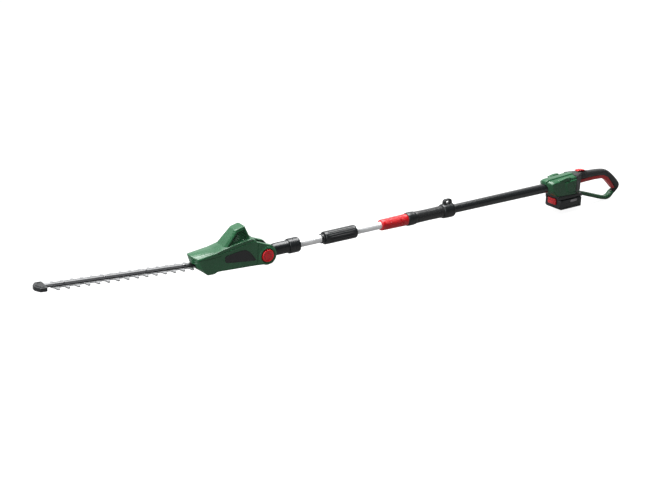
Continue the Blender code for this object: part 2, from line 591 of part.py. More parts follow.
# room over the trigger for its travel, from its tip forwards
TRIGGER_ROOM = [(2.0790, -0.0600), (2.0855, -0.0440), (2.0455, 0.0015), (2.0150, 0.0112), (1.9700, 0.0112),
                (1.8760, 0.0110), (1.8760, -0.0070)]


def housing_half(name, side):
    """One half of the rear casing, with its half of the loop's core."""
    inner = -PAST * side
    shell = piece(name, across(BODY, inner, HOUSING_HALF * side, 0.0070), "green", POLE)
    join(shell, tool(across(LOWER_BAR, 1.1 * inner, LOOP_HALF * side, 0.0030), POLE))
    join(shell, tool(across(CORE, 1.2 * inner, CORE_HALF * side), POLE))
    cut(shell, tool(across(inset(BODY, WALL), 1.3 * inner, (HOUSING_HALF - WALL) * side, 0.0070), POLE))
    # seat of the tube, channel for the trigger, mouth for the battery's rails
    cut(shell, tool(rod(1.700, 1.802, 0.0165), POLE))
    channel = TRIGGER_FACE[1:] + TRIGGER_ROOM
    cut(shell, tool(across(channel, 1.4 * inner, (TRIGGER_HALF + 0.0005) * side), POLE))
    cut(shell, tool(block(1.7600, 1.8730, 1.5 * inner, 0.0225 * side, -0.0500, -0.0380), POLE))
    part_at_middle(shell, POLE, side, 1.700, 2.200)
    return shell


housing_half("rear_housing_left", 1)
housing_half("rear_housing_right", -1)

grip = piece("handle_grip", across(GRIP_OUT + GRIP_IN, -LOOP_HALF, LOOP_HALF, 0.0030), "soft", POLE)
grip_room = inset(GRIP_OUT + GRIP_IN, 0.0020)[1:10]
grip_room = [(1.8300, grip_room[0][1])] + grip_room + GRIP_ROOM_UNDER
cut(grip, tool(across(grip_room, -CORE_HALF - GAP, CORE_HALF + GAP), POLE))
cut(grip, tool(across(inset(BODY, -0.0003), -0.040, 0.040), POLE))

trigger_shape = [(x - TRIGGER_PIVOT[0], z - TRIGGER_PIVOT[1]) for x, z in TRIGGER_BACK + TRIGGER_FACE]
piece("trigger", across(trigger_shape, -TRIGGER_HALF, TRIGGER_HALF, 0.0012), "red", TRIGGER_AXIS)
piece("trigger_spring", coil_spring(0.0080, 0.0035, 0.0005, 4, "Z"), "steel", POLE,
      (1.8860, 0.0, 0.0098), smooth=True)
slider_shape = [(1.8830, 0.0367), (1.8835, 0.0390), (1.8880, 0.0405), (1.9020, 0.0408), (1.9140, 0.0390),
                (1.9220, 0.0356), (1.9230, 0.0331), (1.8960, 0.0366)]
piece("lock_off_slider", across(slider_shape, -0.0080, 0.0080, 0.0012), "red", POLE)
piece("switch_module", block(1.8480, 1.8700, -0.0100, 0.0100, -0.0160, 0.0160), "black", POLE)
piece("control_board", block(1.7900, 1.8600, -0.0210, 0.0210, -0.0250, -0.0234), "board", POLE)
piece("battery_terminals", block(1.8400, 1.8640, -0.0150, 0.0150, -0.0350, -0.0290), "black", POLE)
piece("tube_clamp", tube(1.7640, 1.7860, 0.0195, 0.0165), "aluminium", POLE, smooth=True)

# ---- Battery ----------------------------------------------------------------------------
def battery_half(name, z_low, z_high, chamfer_low):
    """Half of the battery case, closed below or above, as a hollow tray."""
    x_low, x_high = BATTERY
    slope = 0.008
    if chamfer_low:
        side = [(x_low, z_high), (x_low, z_low + slope), (x_low + slope, z_low), (x_high - 0.003, z_low),
                (x_high, z_low + 0.003), (x_high, z_high)]
        room = block(x_low + 0.0020, x_high - 0.0020, -BATTERY_HALF + 0.0020, BATTERY_HALF - 0.0020,
                     z_low + 0.0018, z_high + 0.010)
    else:
        side = [(x_low, z_low), (x_low + 0.001, z_high), (x_high, z_high), (x_high, z_low)]
        room = block(x_low + 0.0025, x_high - 0.0020, -BATTERY_HALF + 0.0020, BATTERY_HALF - 0.0020,
                     z_low - 0.010, z_high - 0.0020)
    shell = piece(name, across(side, -BATTERY_HALF, BATTERY_HALF, 0.0022), "black", POLE)
    cut(shell, tool(room, POLE))
    return shell


lower_case = battery_half("battery_case_lower", BATTERY_BOTTOM, BATTERY_SPLIT, True)
upper_case = battery_half("battery_case_upper", BATTERY_SPLIT + GAP, BATTERY_TOP, False)
join(upper_case, tool(block(1.7850, 1.8720, -0.0215, 0.0215, BATTERY_TOP - 0.0010, -0.0385), POLE))
button_room = tool(block(1.7700, 1.7838, -0.0182, 0.0182, -0.0632, -0.0300), POLE)
cut(upper_case, button_room)
cut(lower_case, button_room)
button_side = [(1.7745, -0.0470), (1.7760, -0.0440), (1.7805, -0.0440), (1.7805, -0.0625), (1.7770, -0.0625),
               (1.7745, -0.0590)]
piece("battery_button", across(button_side, -0.0178, 0.0178, 0.0010), "red", POLE)
for number in range(5):
    cell_x = BATTERY[0] + 0.0020 + GAP + CELL_R + 0.0023 + CELL_PITCH * number
    piece(f"battery_cell_{number + 1}", rod(-0.0322, 0.0322, CELL_R, axis="Y", segments=16), "cell", POLE,
          (cell_x, 0.0, BATTERY_BOTTOM + 0.0018 + GAP + CELL_R), smooth=True)
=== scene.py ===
"""Looks of the pole hedge trimmer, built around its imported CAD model.

Lengths are in metres. A piece is modelled either in the pole's own frame (x is the distance from the
blade tip along the pole, y to the left, z up from the pole's axis) or in the head's frame (origin on
the tilt pivot, x backwards along the blade, z up towards the motor hump).
"""
import json
import math

import bmesh
import bpy
from mathutils import Matrix, Vector


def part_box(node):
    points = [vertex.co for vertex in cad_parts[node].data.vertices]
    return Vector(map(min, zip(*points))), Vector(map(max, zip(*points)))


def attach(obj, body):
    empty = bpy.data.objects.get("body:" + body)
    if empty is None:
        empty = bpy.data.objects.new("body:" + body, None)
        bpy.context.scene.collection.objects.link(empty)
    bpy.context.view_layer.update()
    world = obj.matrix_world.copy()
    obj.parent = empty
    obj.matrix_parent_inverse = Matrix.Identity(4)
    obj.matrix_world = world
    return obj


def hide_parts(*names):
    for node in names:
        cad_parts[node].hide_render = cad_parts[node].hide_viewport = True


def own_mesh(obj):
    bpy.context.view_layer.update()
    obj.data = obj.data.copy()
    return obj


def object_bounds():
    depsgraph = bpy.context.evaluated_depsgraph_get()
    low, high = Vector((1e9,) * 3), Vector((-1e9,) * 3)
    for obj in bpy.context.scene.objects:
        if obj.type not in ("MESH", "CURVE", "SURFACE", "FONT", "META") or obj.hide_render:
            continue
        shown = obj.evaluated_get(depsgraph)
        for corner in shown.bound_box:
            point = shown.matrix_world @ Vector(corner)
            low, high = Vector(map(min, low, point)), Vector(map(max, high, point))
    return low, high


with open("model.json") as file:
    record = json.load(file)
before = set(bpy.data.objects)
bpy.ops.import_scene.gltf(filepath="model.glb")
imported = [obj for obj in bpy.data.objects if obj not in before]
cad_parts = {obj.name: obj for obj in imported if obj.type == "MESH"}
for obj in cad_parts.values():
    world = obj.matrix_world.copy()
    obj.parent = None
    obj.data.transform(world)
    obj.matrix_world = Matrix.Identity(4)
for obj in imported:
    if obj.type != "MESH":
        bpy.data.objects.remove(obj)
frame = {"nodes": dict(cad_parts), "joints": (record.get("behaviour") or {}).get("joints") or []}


def plain_bounds():
    """The object's box now, as plain lists of numbers."""
    return [[float(value) for value in corner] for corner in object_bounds()]


CAD_BOX = plain_bounds()

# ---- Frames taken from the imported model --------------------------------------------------
JOINTS = {joint["name"]: joint for joint in frame["joints"]}
PIVOT = Vector(JOINTS["head_tilt"]["pos_m"])
HEAD_UP = Vector(JOINTS["gear_spin"]["axis"])
HEAD_BACK = -Vector(JOINTS["upper_blade_stroke"]["axis"])
POLE = Matrix.Translation((CAD_BOX[0][0], 0.0, PIVOT.z))
HEAD = Matrix((HEAD_BACK, (0.0, 1.0, 0.0), HEAD_UP)).transposed().to_4x4()
HEAD.translation = PIVOT
TAU = 2 * math.pi


def station_span(node):
    """First and last station of a CAD node along the pole."""
    low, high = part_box(node)
    return low.x - CAD_BOX[0][0], high.x - CAD_BOX[0][0]


# ---- Material building blocks ------------------------------------------------------------
class Nodes:
    """Small helper that adds and links shader nodes."""

    def __init__(self, name):
        self.material = bpy.data.materials.new(name)
        self.material.use_nodes = True
        self.tree = self.material.node_tree
        self.shader = self.tree.nodes["Principled BSDF"]
        coords = self.tree.nodes.new("ShaderNodeTexCoord")
        self.place = coords.outputs["Object"]

    def link(self, source, target):
        self.tree.links.new(source, target)

    def feed(self, socket, source):
        """Link a value to one of the shader's own sockets."""
        self.link(source, self.shader.inputs[socket])

    def stretch(self, scale):
        """Coordinates scaled along each axis."""
        node = self.tree.nodes.new("ShaderNodeMapping")
        node.inputs["Scale"].default_value = scale
        self.link(self.place, node.inputs["Vector"])
        return node.outputs["Vector"]

    def noise(self, scale, detail=2.0, stretch=None):
        node = self.tree.nodes.new("ShaderNodeTexNoise")
        node.inputs["Scale"].default_value = scale
        node.inputs["Detail"].default_value = detail
        self.link(self.stretch(stretch) if stretch else self.place, node.inputs["Vector"])
        return node.outputs["Fac"]

    def cells(self, scale):
        """Distances of rounded cells."""
        node = self.tree.nodes.new("ShaderNodeTexVoronoi")
        node.feature = "SMOOTH_F1"
        node.inputs["Scale"].default_value = scale
        self.link(self.place, node.inputs["Vector"])
        return node.outputs["Distance"]

    def ramp(self, value, low, high, start=0.3, end=0.7):
        """Value turned into a colour between two colours."""
        node = self.tree.nodes.new("ShaderNodeValToRGB")
        node.color_ramp.elements[0].position = start
        node.color_ramp.elements[0].color = (*low, 1.0)
        node.color_ramp.elements[1].position = end
        node.color_ramp.elements[1].color = (*high, 1.0)
        self.link(value, node.inputs["Fac"])
        return node.outputs["Color"]

    def span(self, value, low, high):
        """Value from 0..1 moved to low..high."""
        node = self.tree.nodes.new("ShaderNodeMapRange")
        node.inputs["To Min"].default_value = low
        node.inputs["To Max"].default_value = high
        self.link(value, node.inputs["Value"])
        return node.outputs["Result"]

    def bump(self, height, distance, strength=1.0, under=None):
        node = self.tree.nodes.new("ShaderNodeBump")
        node.inputs["Strength"].default_value = strength
        node.inputs["Distance"].default_value = distance
        self.link(height, node.inputs["Height"])
        if under:
            self.link(under, node.inputs["Normal"])
        return node.outputs["Normal"]

    def edge_wear(self, colour, worn, amount=0.5):
        """Colour that turns lighter where the surface is sharply convex."""
        geometry = self.tree.nodes.new("ShaderNodeNewGeometry")
        mask = self.tree.nodes.new("ShaderNodeMapRange")
        mask.inputs["From Min"].default_value = 0.53
        mask.inputs["From Max"].default_value = 0.62
        mask.inputs["To Max"].default_value = amount
        self.link(geometry.outputs["Pointiness"], mask.inputs["Value"])
        mix = self.tree.nodes.new("ShaderNodeMix")
        mix.data_type = "RGBA"
        self.link(mask.outputs["Result"], mix.inputs["Factor"])
        self.link(colour, mix.inputs[6])
        mix.inputs[7].default_value = (*worn, 1.0)
        return mix.outputs[2]


def scaled(colour, factor):
    """Colour with each of its parts multiplied."""
    return tuple(factor * part for part in colour)


def moulded(name, colour, roughness, grain=0.00003, grain_scale=2600.0, specular=0.5, wear=0.25):
    """Moulded plastic: spark-eroded grain, slight flow variation in colour and gloss, lighter edges."""
    made = Nodes(name)
    flow = made.noise(14.0, 3.0)
    darker = scaled(colour, 0.88)
    lighter = tuple(min(1.0, 1.12 * part) for part in colour)
    shade = made.ramp(flow, darker, lighter)
    worn = tuple(min(1.0, 1.6 * part + 0.02) for part in colour)
    made.feed("Base Color", made.edge_wear(shade, worn, wear))
    made.feed("Roughness", made.span(made.noise(90.0, 4.0), roughness - 0.05, roughness + 0.06))
    made.shader.inputs["Specular IOR Level"].default_value = specular
    fine = made.bump(made.noise(grain_scale, 3.0), grain)
    made.feed("Normal", made.bump(made.noise(60.0, 2.0), 0.00004, 0.6, fine))
    return made.material


def soft_rubber(name, colour, roughness):
    """Soft overmould with a pebbled touch surface."""
    made = Nodes(name)
    pebbles = made.cells(1500.0)
    shade = made.ramp(made.noise(30.0, 4.0), scaled(colour, 0.8), colour)
    made.feed("Base Color", shade)
    made.feed("Roughness", made.span(made.noise(200.0, 3.0), roughness - 0.06, roughness + 0.06))
    made.shader.inputs["Specular IOR Level"].default_value = 0.4
    made.shader.inputs["Sheen Weight"].default_value = 0.12
    made.shader.inputs["Sheen Roughness"].default_value = 0.5
    made.feed("Normal", made.bump(pebbles, 0.00012, 0.5))
    return made.material


def drawn_metal(name, colour, roughness, stretch=(4.0, 900.0, 900.0), metallic=1.0):
    """Metal with fine lines along one direction, from drawing or grinding."""
    made = Nodes(name)
    lines = made.noise(1.0, 6.0, stretch)
    shade = made.ramp(lines, scaled(colour, 0.9), colour, 0.35, 0.65)
    made.feed("Base Color", shade)
    made.feed("Roughness", made.span(lines, roughness - 0.05, roughness + 0.10))
    made.shader.inputs["Metallic"].default_value = metallic
    made.feed("Normal", made.bump(lines, 0.00001, 0.7))
    return made.material


def powder_coat(name, colour, roughness):
    """Coated tube: fine orange peel and a soft gloss."""
    made = Nodes(name)
    shade = made.ramp(made.noise(25.0, 3.0), scaled(colour, 0.85), colour)
    made.feed("Base Color", shade)
    made.feed("Roughness", made.span(made.noise(160.0, 3.0), roughness - 0.04, roughness + 0.05))
    made.shader.inputs["Coat Weight"].default_value = 0.25
    made.shader.inputs["Coat Roughness"].default_value = 0.25
    made.feed("Normal", made.bump(made.noise(1400.0, 2.0), 0.00004, 0.8))
    return made.material


def cast_metal(name, colour, roughness):
    """Die-cast metal with a slightly pitted skin."""
    made = Nodes(name)
    pits = made.noise(700.0, 5.0)
    made.feed("Base Color", made.ramp(pits, scaled(colour, 0.7), colour))
    made.feed("Roughness", made.span(pits, roughness - 0.08, roughness + 0.12))
    made.shader.inputs["Metallic"].default_value = 1.0
    made.feed("Normal", made.bump(pits, 0.00008, 0.6))
    return made.material


GREEN = moulded("green_shell", (0.015, 0.088, 0.035), 0.27, grain=0.000012, specular=0.5, wear=0.06)
BLACK = moulded("black_shell", (0.009, 0.011, 0.012), 0.30, specular=0.5)
BADGE = moulded("badge_panel", (0.008, 0.009, 0.010), 0.24, grain=0.00001, wear=0.1)
RED = moulded("red_moulding", (0.520, 0.004, 0.009), 0.28, specular=0.55, wear=0.1)
RUBBER = soft_rubber("soft_grip", (0.013, 0.014, 0.015), 0.48)
RUBBER_SMOOTH = soft_rubber("smooth_grip", (0.009, 0.010, 0.011), 0.26)
ALUMINIUM = drawn_metal("tube_aluminium", (0.86, 0.87, 0.88), 0.34, metallic=0.35)
BLADE_STEEL = drawn_metal("blade_steel", (0.62, 0.63, 0.64), 0.30, (900.0, 8.0, 8.0))
DARK_STEEL = drawn_metal("blackened_rail", (0.030, 0.031, 0.034), 0.42, (6.0, 500.0, 500.0), metallic=0.8)
SCREW_STEEL = drawn_metal("screw_steel", (0.50, 0.50, 0.51), 0.32, (300.0, 300.0, 300.0))
TUBE_BLACK = powder_coat("black_tube", (0.009, 0.011, 0.012), 0.28)
CAST = cast_metal("cast_aluminium", (0.55, 0.56, 0.57), 0.45)
COPPER = drawn_metal("copper_windings", (0.62, 0.30, 0.13), 0.35, (1500.0, 1500.0, 60.0))
BOARD = moulded("circuit_board", (0.02, 0.12, 0.06), 0.40, wear=0.0)
CELL = moulded("cell_sleeve", (0.05, 0.17, 0.30), 0.35, wear=0.0)
LABEL = moulded("plain_label", (0.30, 0.29, 0.30), 0.45, grain=0.00001, wear=0.0)


# ---- Shape building blocks ---------------------------------------------------------------
def rounded(points, radius, steps=4, closed=True):
    """Outline with each corner replaced by a smooth bend; radius may be one value or one per corner."""
    count = len(points)
    result = []
    for index, point in enumerate(points):
        here = Vector(point)
        if not closed and index in (0, count - 1):
            result.append(tuple(here))
            continue
        before = Vector(points[index - 1]) - here
        after = Vector(points[(index + 1) % count]) - here
        wanted = radius[index] if isinstance(radius, (list, tuple)) else radius
        reach = min(wanted, 0.45 * before.length, 0.45 * after.length)
        if reach < 1e-6:
            result.append(tuple(here))
            continue
        start = here + before.normalized() * reach
        end = here + after.normalized() * reach
        for step in range(steps + 1):
            t = step / steps
            result.append(tuple(start * (1 - t) ** 2 + here * 2 * t * (1 - t) + end * t ** 2))
    return result


def inset(outline, distance):
    """Outline moved inwards by a distance, whichever way round it runs."""
    if distance < 1e-7:
        return outline
    area = sum(a[0] * b[1] - b[0] * a[1] for a, b in zip(outline, outline[1:] + outline[:1]))
    sign = 1.0 if area > 0 else -1.0
    moved = []
    for index, corner in enumerate(outline):
        here = Vector(corner)
        before = (here - Vector(outline[index - 1])).normalized()
        after = (Vector(outline[(index + 1) % len(outline)]) - here).normalized()
        inward = Vector((-before.y, before.x)) * sign
        other = Vector((-after.y, after.x)) * sign
        middle = (inward + other).normalized()
        moved.append(tuple(here + middle * distance / max(0.35, middle.dot(inward))))
    return moved


def arc(centre, radius, start, end, steps):
    """Points on an arc, angles in degrees."""
    turns = [math.radians(start + (end - start) * step / steps) for step in range(steps + 1)]
    return [(centre[0] + radius * math.cos(turn), centre[1] + radius * math.sin(turn)) for turn in turns]


def flipped(points):
    """The points on the other side of the first axis, in reverse order."""
    return [(along, -off) for along, off in reversed(points)]


def slot_outline(x, z, reach, radius):
    """Outline of a slot with round ends, whose end centres are a reach before and after x."""
    return arc((x + reach, z), radius, -90, 90, 12) + arc((x - reach, z), radius, 90, 270, 12)


def loft(sections):
    """Closed solid through sections of equal point counts."""
    bm = bmesh.new()
    rings = [[bm.verts.new(point) for point in section] for section in sections]
    count = len(rings[0])
    for low, high in zip(rings, rings[1:]):
        for step in range(count):
            following = (step + 1) % count
            bm.faces.new((low[step], low[following], high[following], high[step]))
    bm.faces.new(rings[0])
    bm.faces.new(rings[-1])
    return bm


def rim_levels(low, high, edge, steps):
    """(level, inset) pairs of a prism whose two rims are rounded."""
    turns = [step / steps * math.pi / 2 for step in range(steps + 1)]
    start = [(low + edge * (1 - math.sin(turn)), edge * (1 - math.cos(turn))) for turn in reversed(turns)]
    end = [(high - edge * (1 - math.sin(turn)), edge * (1 - math.cos(turn))) for turn in turns]
    return start + end


def slab(outline, low, high, edge=0.0, axis="y", steps=3):
    """Prism of an outline between two planes across an axis, with rounded rims.
    The outline is (x, z) for axis y, (x, y) for axis z and (y, z) for axis x."""
    if edge > 0:
        levels = rim_levels(low, high, edge, steps)
    else:
        levels = [(low, 0.0), (high, 0.0)]
    sections = []
    for level, shrink in levels:
        points = inset(outline, shrink)
        if axis == "y":
            sections.append([(a, level, b) for a, b in points])
        elif axis == "z":
            sections.append([(a, b, level) for a, b in points])
        else:
            sections.append([(level, a, b) for a, b in points])
    return loft(sections)


def box(x_low, x_high, y_low, y_high, z_low, z_high, edge=0.0):
    """Block between two planes on each axis, with rounded edges if asked."""
    corners = [(x_low, z_low), (x_high, z_low), (x_high, z_high), (x_low, z_high)]
    if edge > 0:
        corners = rounded(corners, edge * 1.4, 3)
    return slab(corners, min(y_low, y_high), max(y_low, y_high), edge)


def revolve(profile, segments=96, axis="x", ripple=None):
    """Ring-shaped or solid turned shape. Points are (along, radius); the profile is closed, or runs
    from pole to pole where it begins and ends on the axis. ripple(along, turn, radius) is added to
    the radius."""
    bm = bmesh.new()
    rings = []
    for along, radius in profile:
        if radius < 1e-7:
            rings.append([bm.verts.new((along, 0.0, 0.0))])
            continue
        ring = []
        for step in range(segments):
            turn = TAU * step / segments
            r = radius + (ripple(along, turn, radius) if ripple else 0.0)
            ring.append(bm.verts.new((along, r * math.cos(turn), r * math.sin(turn))))
        rings.append(ring)
    pairs = list(zip(rings, rings[1:]))
    if len(rings[0]) > 1:
        pairs.append((rings[-1], rings[0]))
    for low, high in pairs:
        for step in range(segments):
            following = (step + 1) % segments
            corners = [low[step % len(low)], low[following % len(low)],
                       high[following % len(high)], high[step % len(high)]]
            bm.faces.new(list(dict.fromkeys(corners)))
    if axis == "y":
        bmesh.ops.transform(bm, matrix=Matrix.Rotation(math.pi / 2, 4, "Z"), verts=bm.verts)
    elif axis == "z":
        bmesh.ops.transform(bm, matrix=Matrix.Rotation(-math.pi / 2, 4, "Y"), verts=bm.verts)
    return bm


def rod(start, end, radius, segments=96, axis="x"):
    """Plain round bar along an axis."""
    return revolve([(start, 0.0), (start, radius), (end, radius), (end, 0.0)], segments, axis)


def moved(bm, x, z=0.0):
    """The shape moved along x and z."""
    bmesh.ops.transform(bm, matrix=Matrix.Translation((x, 0.0, z)), verts=bm.verts)
    return bm


def as_object(name, bm, place=None, sharp=32.0):
    """Mesh object in the row frame, smooth shaded with sharp edges past an angle."""
    bmesh.ops.recalc_face_normals(bm, faces=bm.faces)
    if place is not None:
        bmesh.ops.transform(bm, matrix=place, verts=bm.verts)
    mesh = bpy.data.meshes.new(name)
    bm.to_mesh(mesh)
    bm.free()
    mesh.shade_smooth()
    mesh.set_sharp_from_angle(angle=math.radians(sharp))
    made = bpy.data.objects.new(name, mesh)
    bpy.context.scene.collection.objects.link(made)
    return made


def settle(piece, sharp=32.0):
    """Put the result of a piece's modifiers into its mesh."""
    result = bpy.data.meshes.new_from_object(piece.evaluated_get(bpy.context.evaluated_depsgraph_get()))
    piece.modifiers.clear()
    piece.data = result
    result.shade_smooth()
    result.set_sharp_from_angle(angle=math.radians(sharp))
    return piece


def gathered(shapes):
    """Several shapes as one, each with its faces pointing out."""
    whole = bmesh.new()
    for shape in shapes:
        bmesh.ops.recalc_face_normals(shape, faces=shape.faces)
        part = bpy.data.meshes.new("part")
        shape.to_mesh(part)
        shape.free()
        whole.from_mesh(part)
        bpy.data.meshes.remove(part)
    return whole


def carve(piece, shapes, place):
    """Cut shapes out of a piece, one after another."""
    for shape in shapes:
        bmesh.ops.recalc_face_normals(shape, faces=shape.faces)
        shape.normal_update()
        bmesh.ops.triangulate(shape, faces=shape.faces)
        other = as_object("carver", shape, place)
        step = piece.modifiers.new("carve", "BOOLEAN")
        step.operation = "DIFFERENCE"
        step.solver = "EXACT"
        step.object = other
        settle(piece)
        bpy.data.objects.remove(other, do_unlink=True)
    return piece


def carve_all(piece, shapes, place):
    """Cut several shapes that do not touch each other in one step."""
    return carve(piece, [gathered(shapes)], place)


def fuse(name, shapes, place, voxel, smoothing=3):
    """One skin around overlapping solids, with small fillets where they meet."""
    piece = as_object(name, gathered(shapes), place)
    step = piece.modifiers.new("remesh", "REMESH")
    step.mode = "VOXEL"
    step.voxel_size = voxel
    if smoothing:
        smooth = piece.modifiers.new("smooth", "SMOOTH")
        smooth.factor = 0.5
        smooth.iterations = smoothing
    return settle(piece, 40.0)


def mirrored(piece, name):
    """Copy of a piece on the other side of the pole's vertical plane."""
    copy = piece.copy()
    copy.data = piece.data.copy()
    copy.name = name
    bpy.context.scene.collection.objects.link(copy)
    copy.data.transform(Matrix.Scale(-1.0, 4, (0.0, 1.0, 0.0)))
    copy.data.flip_normals()
    return copy


def dress(piece, body, material, slot, *nodes):
    """Give a piece its material and body, and hide the CAD nodes it stands for."""
    piece.data.materials.clear()
    piece.data.materials.append(material)
    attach(piece, body)
    if nodes:
        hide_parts(*nodes)
    return piece


def ring_piece(name, profile, body, material, slot, node, bend=0.0006, segments=96):
    """Piece turned about the pole, with softened profile corners, that stands for a CAD node."""
    made = as_object(name, revolve(rounded(profile, bend, 3), segments), POLE)
    return dress(made, body, material, slot, node)


# ---- Camera, light and floor -------------------------------------------------------------
def make_camera():
    """Stands to the front left of the object, level, with a normal lens."""
    data = bpy.data.cameras.new("camera")
    data.sensor_width = 36.0
    data.lens = 55.2
    camera = bpy.data.objects.new("camera", data)
    camera.location = (-1.6668, -2.2545, 1.0913)
    camera.rotation_euler = (math.radians(90 - 20.6), 0.0, math.radians(-33.0))
    bpy.context.scene.collection.objects.link(camera)
    bpy.context.scene.camera = camera


def softbox(name, location, target, size, power):
    """Rectangular area light aimed at a target."""
    data = bpy.data.lights.new(name, "AREA")
    data.shape = "RECTANGLE"
    data.size = size[0]
    data.size_y = size[1]
    data.energy = power
    lamp = bpy.data.objects.new(name, data)
    lamp.location = location
    lamp.rotation_euler = (Vector(target) - Vector(location)).to_track_quat("-Z", "Y").to_euler()
    bpy.context.scene.collection.objects.link(lamp)


FLOOR_REACH = 9.0


def make_studio():
    """White room behind and above, darker in front, a large overhead softbox and a weak fill."""
    world = bpy.data.worlds.new("studio")
    world.use_nodes = True
    tree = world.node_tree
    shade = tree.nodes["Background"]
    coords = tree.nodes.new("ShaderNodeTexCoord")
    split = tree.nodes.new("ShaderNodeSeparateXYZ")
    tree.links.new(coords.outputs["Generated"], split.inputs["Vector"])
    ramp = tree.nodes.new("ShaderNodeMapRange")
    ramp.interpolation_type = "SMOOTHSTEP"
    ramp.inputs["From Min"].default_value = -0.25
    ramp.inputs["From Max"].default_value = 0.65
    ramp.inputs["To Min"].default_value = 0.12
    ramp.inputs["To Max"].default_value = 1.00
    tree.links.new(split.outputs["Y"], ramp.inputs["Value"])
    path = tree.nodes.new("ShaderNodeLightPath")
    strength = tree.nodes.new("ShaderNodeMath")
    strength.operation = "MAXIMUM"
    tree.links.new(ramp.outputs["Result"], strength.inputs[0])
    tree.links.new(path.outputs["Is Camera Ray"], strength.inputs[1])
    tree.links.new(strength.outputs["Value"], shade.inputs["Strength"])
    shade.inputs["Color"].default_value = (1.0, 1.0, 1.0, 1.0)
    bpy.context.scene.world = world
    bpy.context.scene.view_settings.view_transform = "Standard"
    softbox("overhead", (0.0, 0.5, 2.6), (0.0, 0.0, 0.0), (3.4, 1.6), 205.0)
    softbox("left_front", (-3.0, -1.0, 1.2), (0.0, 0.0, 0.1), (1.0, 1.2), 52.0)
    floor = as_object("floor", box(-FLOOR_REACH, FLOOR_REACH, -FLOOR_REACH, FLOOR_REACH, -0.0200, -0.0005))
    made = Nodes("pale_floor")
    made.shader.inputs["Base Color"].default_value = (0.13, 0.13, 0.13, 1.0)
    made.shader.inputs["Roughness"].default_value = 0.9
    made.shader.inputs["Emission Color"].default_value = (1.0, 1.0, 1.0, 1.0)
    seen = made.tree.nodes.new("ShaderNodeLightPath")
    made.feed("Emission Strength", made.span(seen.outputs["Is Camera Ray"], 0.05, 0.93))
    floor.data.materials.append(made.material)


make_camera()
make_studio()


# ---- Small parts used in several places --------------------------------------------------
SIDES = (("left", 1), ("right", -1))


def across(near, far, side):
    """Two distances from the middle as lowest and highest y; side is 1 on the left, -1 on the right."""
    return sorted((near * side, far * side))


def span_at(outline, level):
    """Least and greatest first coordinate of an outline at a level of the second."""
    crossings = []
    for a, b in zip(outline, outline[1:] + outline[:1]):
        if (a[1] - level) * (b[1] - level) < 0:
            crossings.append(a[0] + (b[0] - a[0]) * (level - a[1]) / (b[1] - a[1]))
    return min(crossings), max(crossings)


def strip(points, half_width, low, high):
    """Straight-sided bar along a line of (x, z) points, between two planes across y."""
    above = []
    below = []
    for index, point in enumerate(points):
        before = Vector(points[max(0, index - 1)])
        after = Vector(points[min(len(points) - 1, index + 1)])
        along = (after - before).normalized()
        normal = Vector((-along.y, along.x)) * half_width
        above.append(tuple(Vector(point) + normal))
        below.append(tuple(Vector(point) - normal))
    return slab(above + below[::-1], min(low, high), max(low, high))


def screw_head(name, radius, place, body):
    """Pan head with a six-lobed socket; its axis is z and it faces up."""
    socket = 0.46 * radius
    profile = [(-0.55 * radius, 0.0), (-0.55 * radius, socket), (0.10 * radius, 1.04 * socket),
               (0.05 * radius, 0.75 * radius), (-0.12 * radius, 0.93 * radius), (-0.35 * radius, radius),
               (-0.80 * radius, radius), (-0.80 * radius, 0.0)]

    def lobes(along, turn, r):
        return 0.14 * r * math.cos(6 * turn) if r < 1.1 * socket else 0.0

    head = revolve(rounded(profile, 0.06 * radius, 2, closed=False), 72, "z", lobes)
    made = as_object(name, head, place)
    return dress(made, body, SCREW_STEEL, "steel")


def casing_screws(name, spots, y_face, depth, place, body):
    """Screws sunk in the left side of a casing: recess shapes to cut, and the screw heads."""
    recesses = []
    for number, (x, z) in enumerate(spots, 1):
        turned = Matrix.Translation((x, y_face - depth, z)) @ Matrix.Rotation(-math.pi / 2, 4, "X")
        screw_head(f"{name}_{number}", 0.0029, place @ turned, body)
        floor = y_face - depth - 0.0012
        well = revolve([(floor, 0.0), (floor, 0.0034), (y_face - 0.0005, 0.0036),
                        (y_face + 0.0060, 0.0046), (y_face + 0.0060, 0.0)], 40, "y")
        recesses.append(moved(well, x, z))
    return recesses


def split_at_middle(piece, place, side):
    """Cut a half casing back to the parting plane."""
    limits = across(-0.020, SEAM, side)
    return carve(piece, [box(-0.400, 3.000, *limits, -0.300, 0.300)], place)


# ---- Head casing -------------------------------------------------------------------------
HEAD_HALF = 0.032
HEAD_WALL = 0.0026
HUMP_WALL = 0.0048
SEAM = 0.00015
PAST_MIDDLE = 0.0030
KNUCKLE_ROOM = 0.0165
EAR_RADIUS = 0.029
HUMP_LEAN = 0.19
HUMP_FOOT = 0.038
# hump: (height at its middle, front, rear, half width, rise towards the rear) from foot to top
HUMP_LEVELS = ((0.0180, -0.1520, -0.0400, 0.0280, 0.0), (0.0375, -0.1337, -0.0480, 0.0276, 0.0),
               (0.0560, -0.1202, -0.0542, 0.0254, 0.05), (0.0700, -0.1104, -0.0617, 0.0228, 0.15),
               (0.0800, -0.1033, -0.0672, 0.0206, 0.28), (0.0834, -0.1008, -0.0690, 0.0198, 0.32),
               (0.0850, -0.0990, -0.0708, 0.0178, 0.32))
HUMP_CORNERS = (0.0062, 0.0035)
HUMP_SHOULDER = 0.075
HUMP_MIDDLE = -0.0880
VENT_PANEL = [(-0.1225, 0.0392), (-0.0985, 0.0700), (-0.0925, 0.0752), (-0.0740, 0.0812), (-0.0700, 0.0800),
              (-0.0585, 0.0580), (-0.0620, 0.0548), (-0.0900, 0.0468)]
VENT_SLOPE = 0.22
VENT_MIDDLE = -0.0900
LOUVRES = 8
LOUVRE_FROM = 0.0482
LOUVRE_PITCH = 0.0039
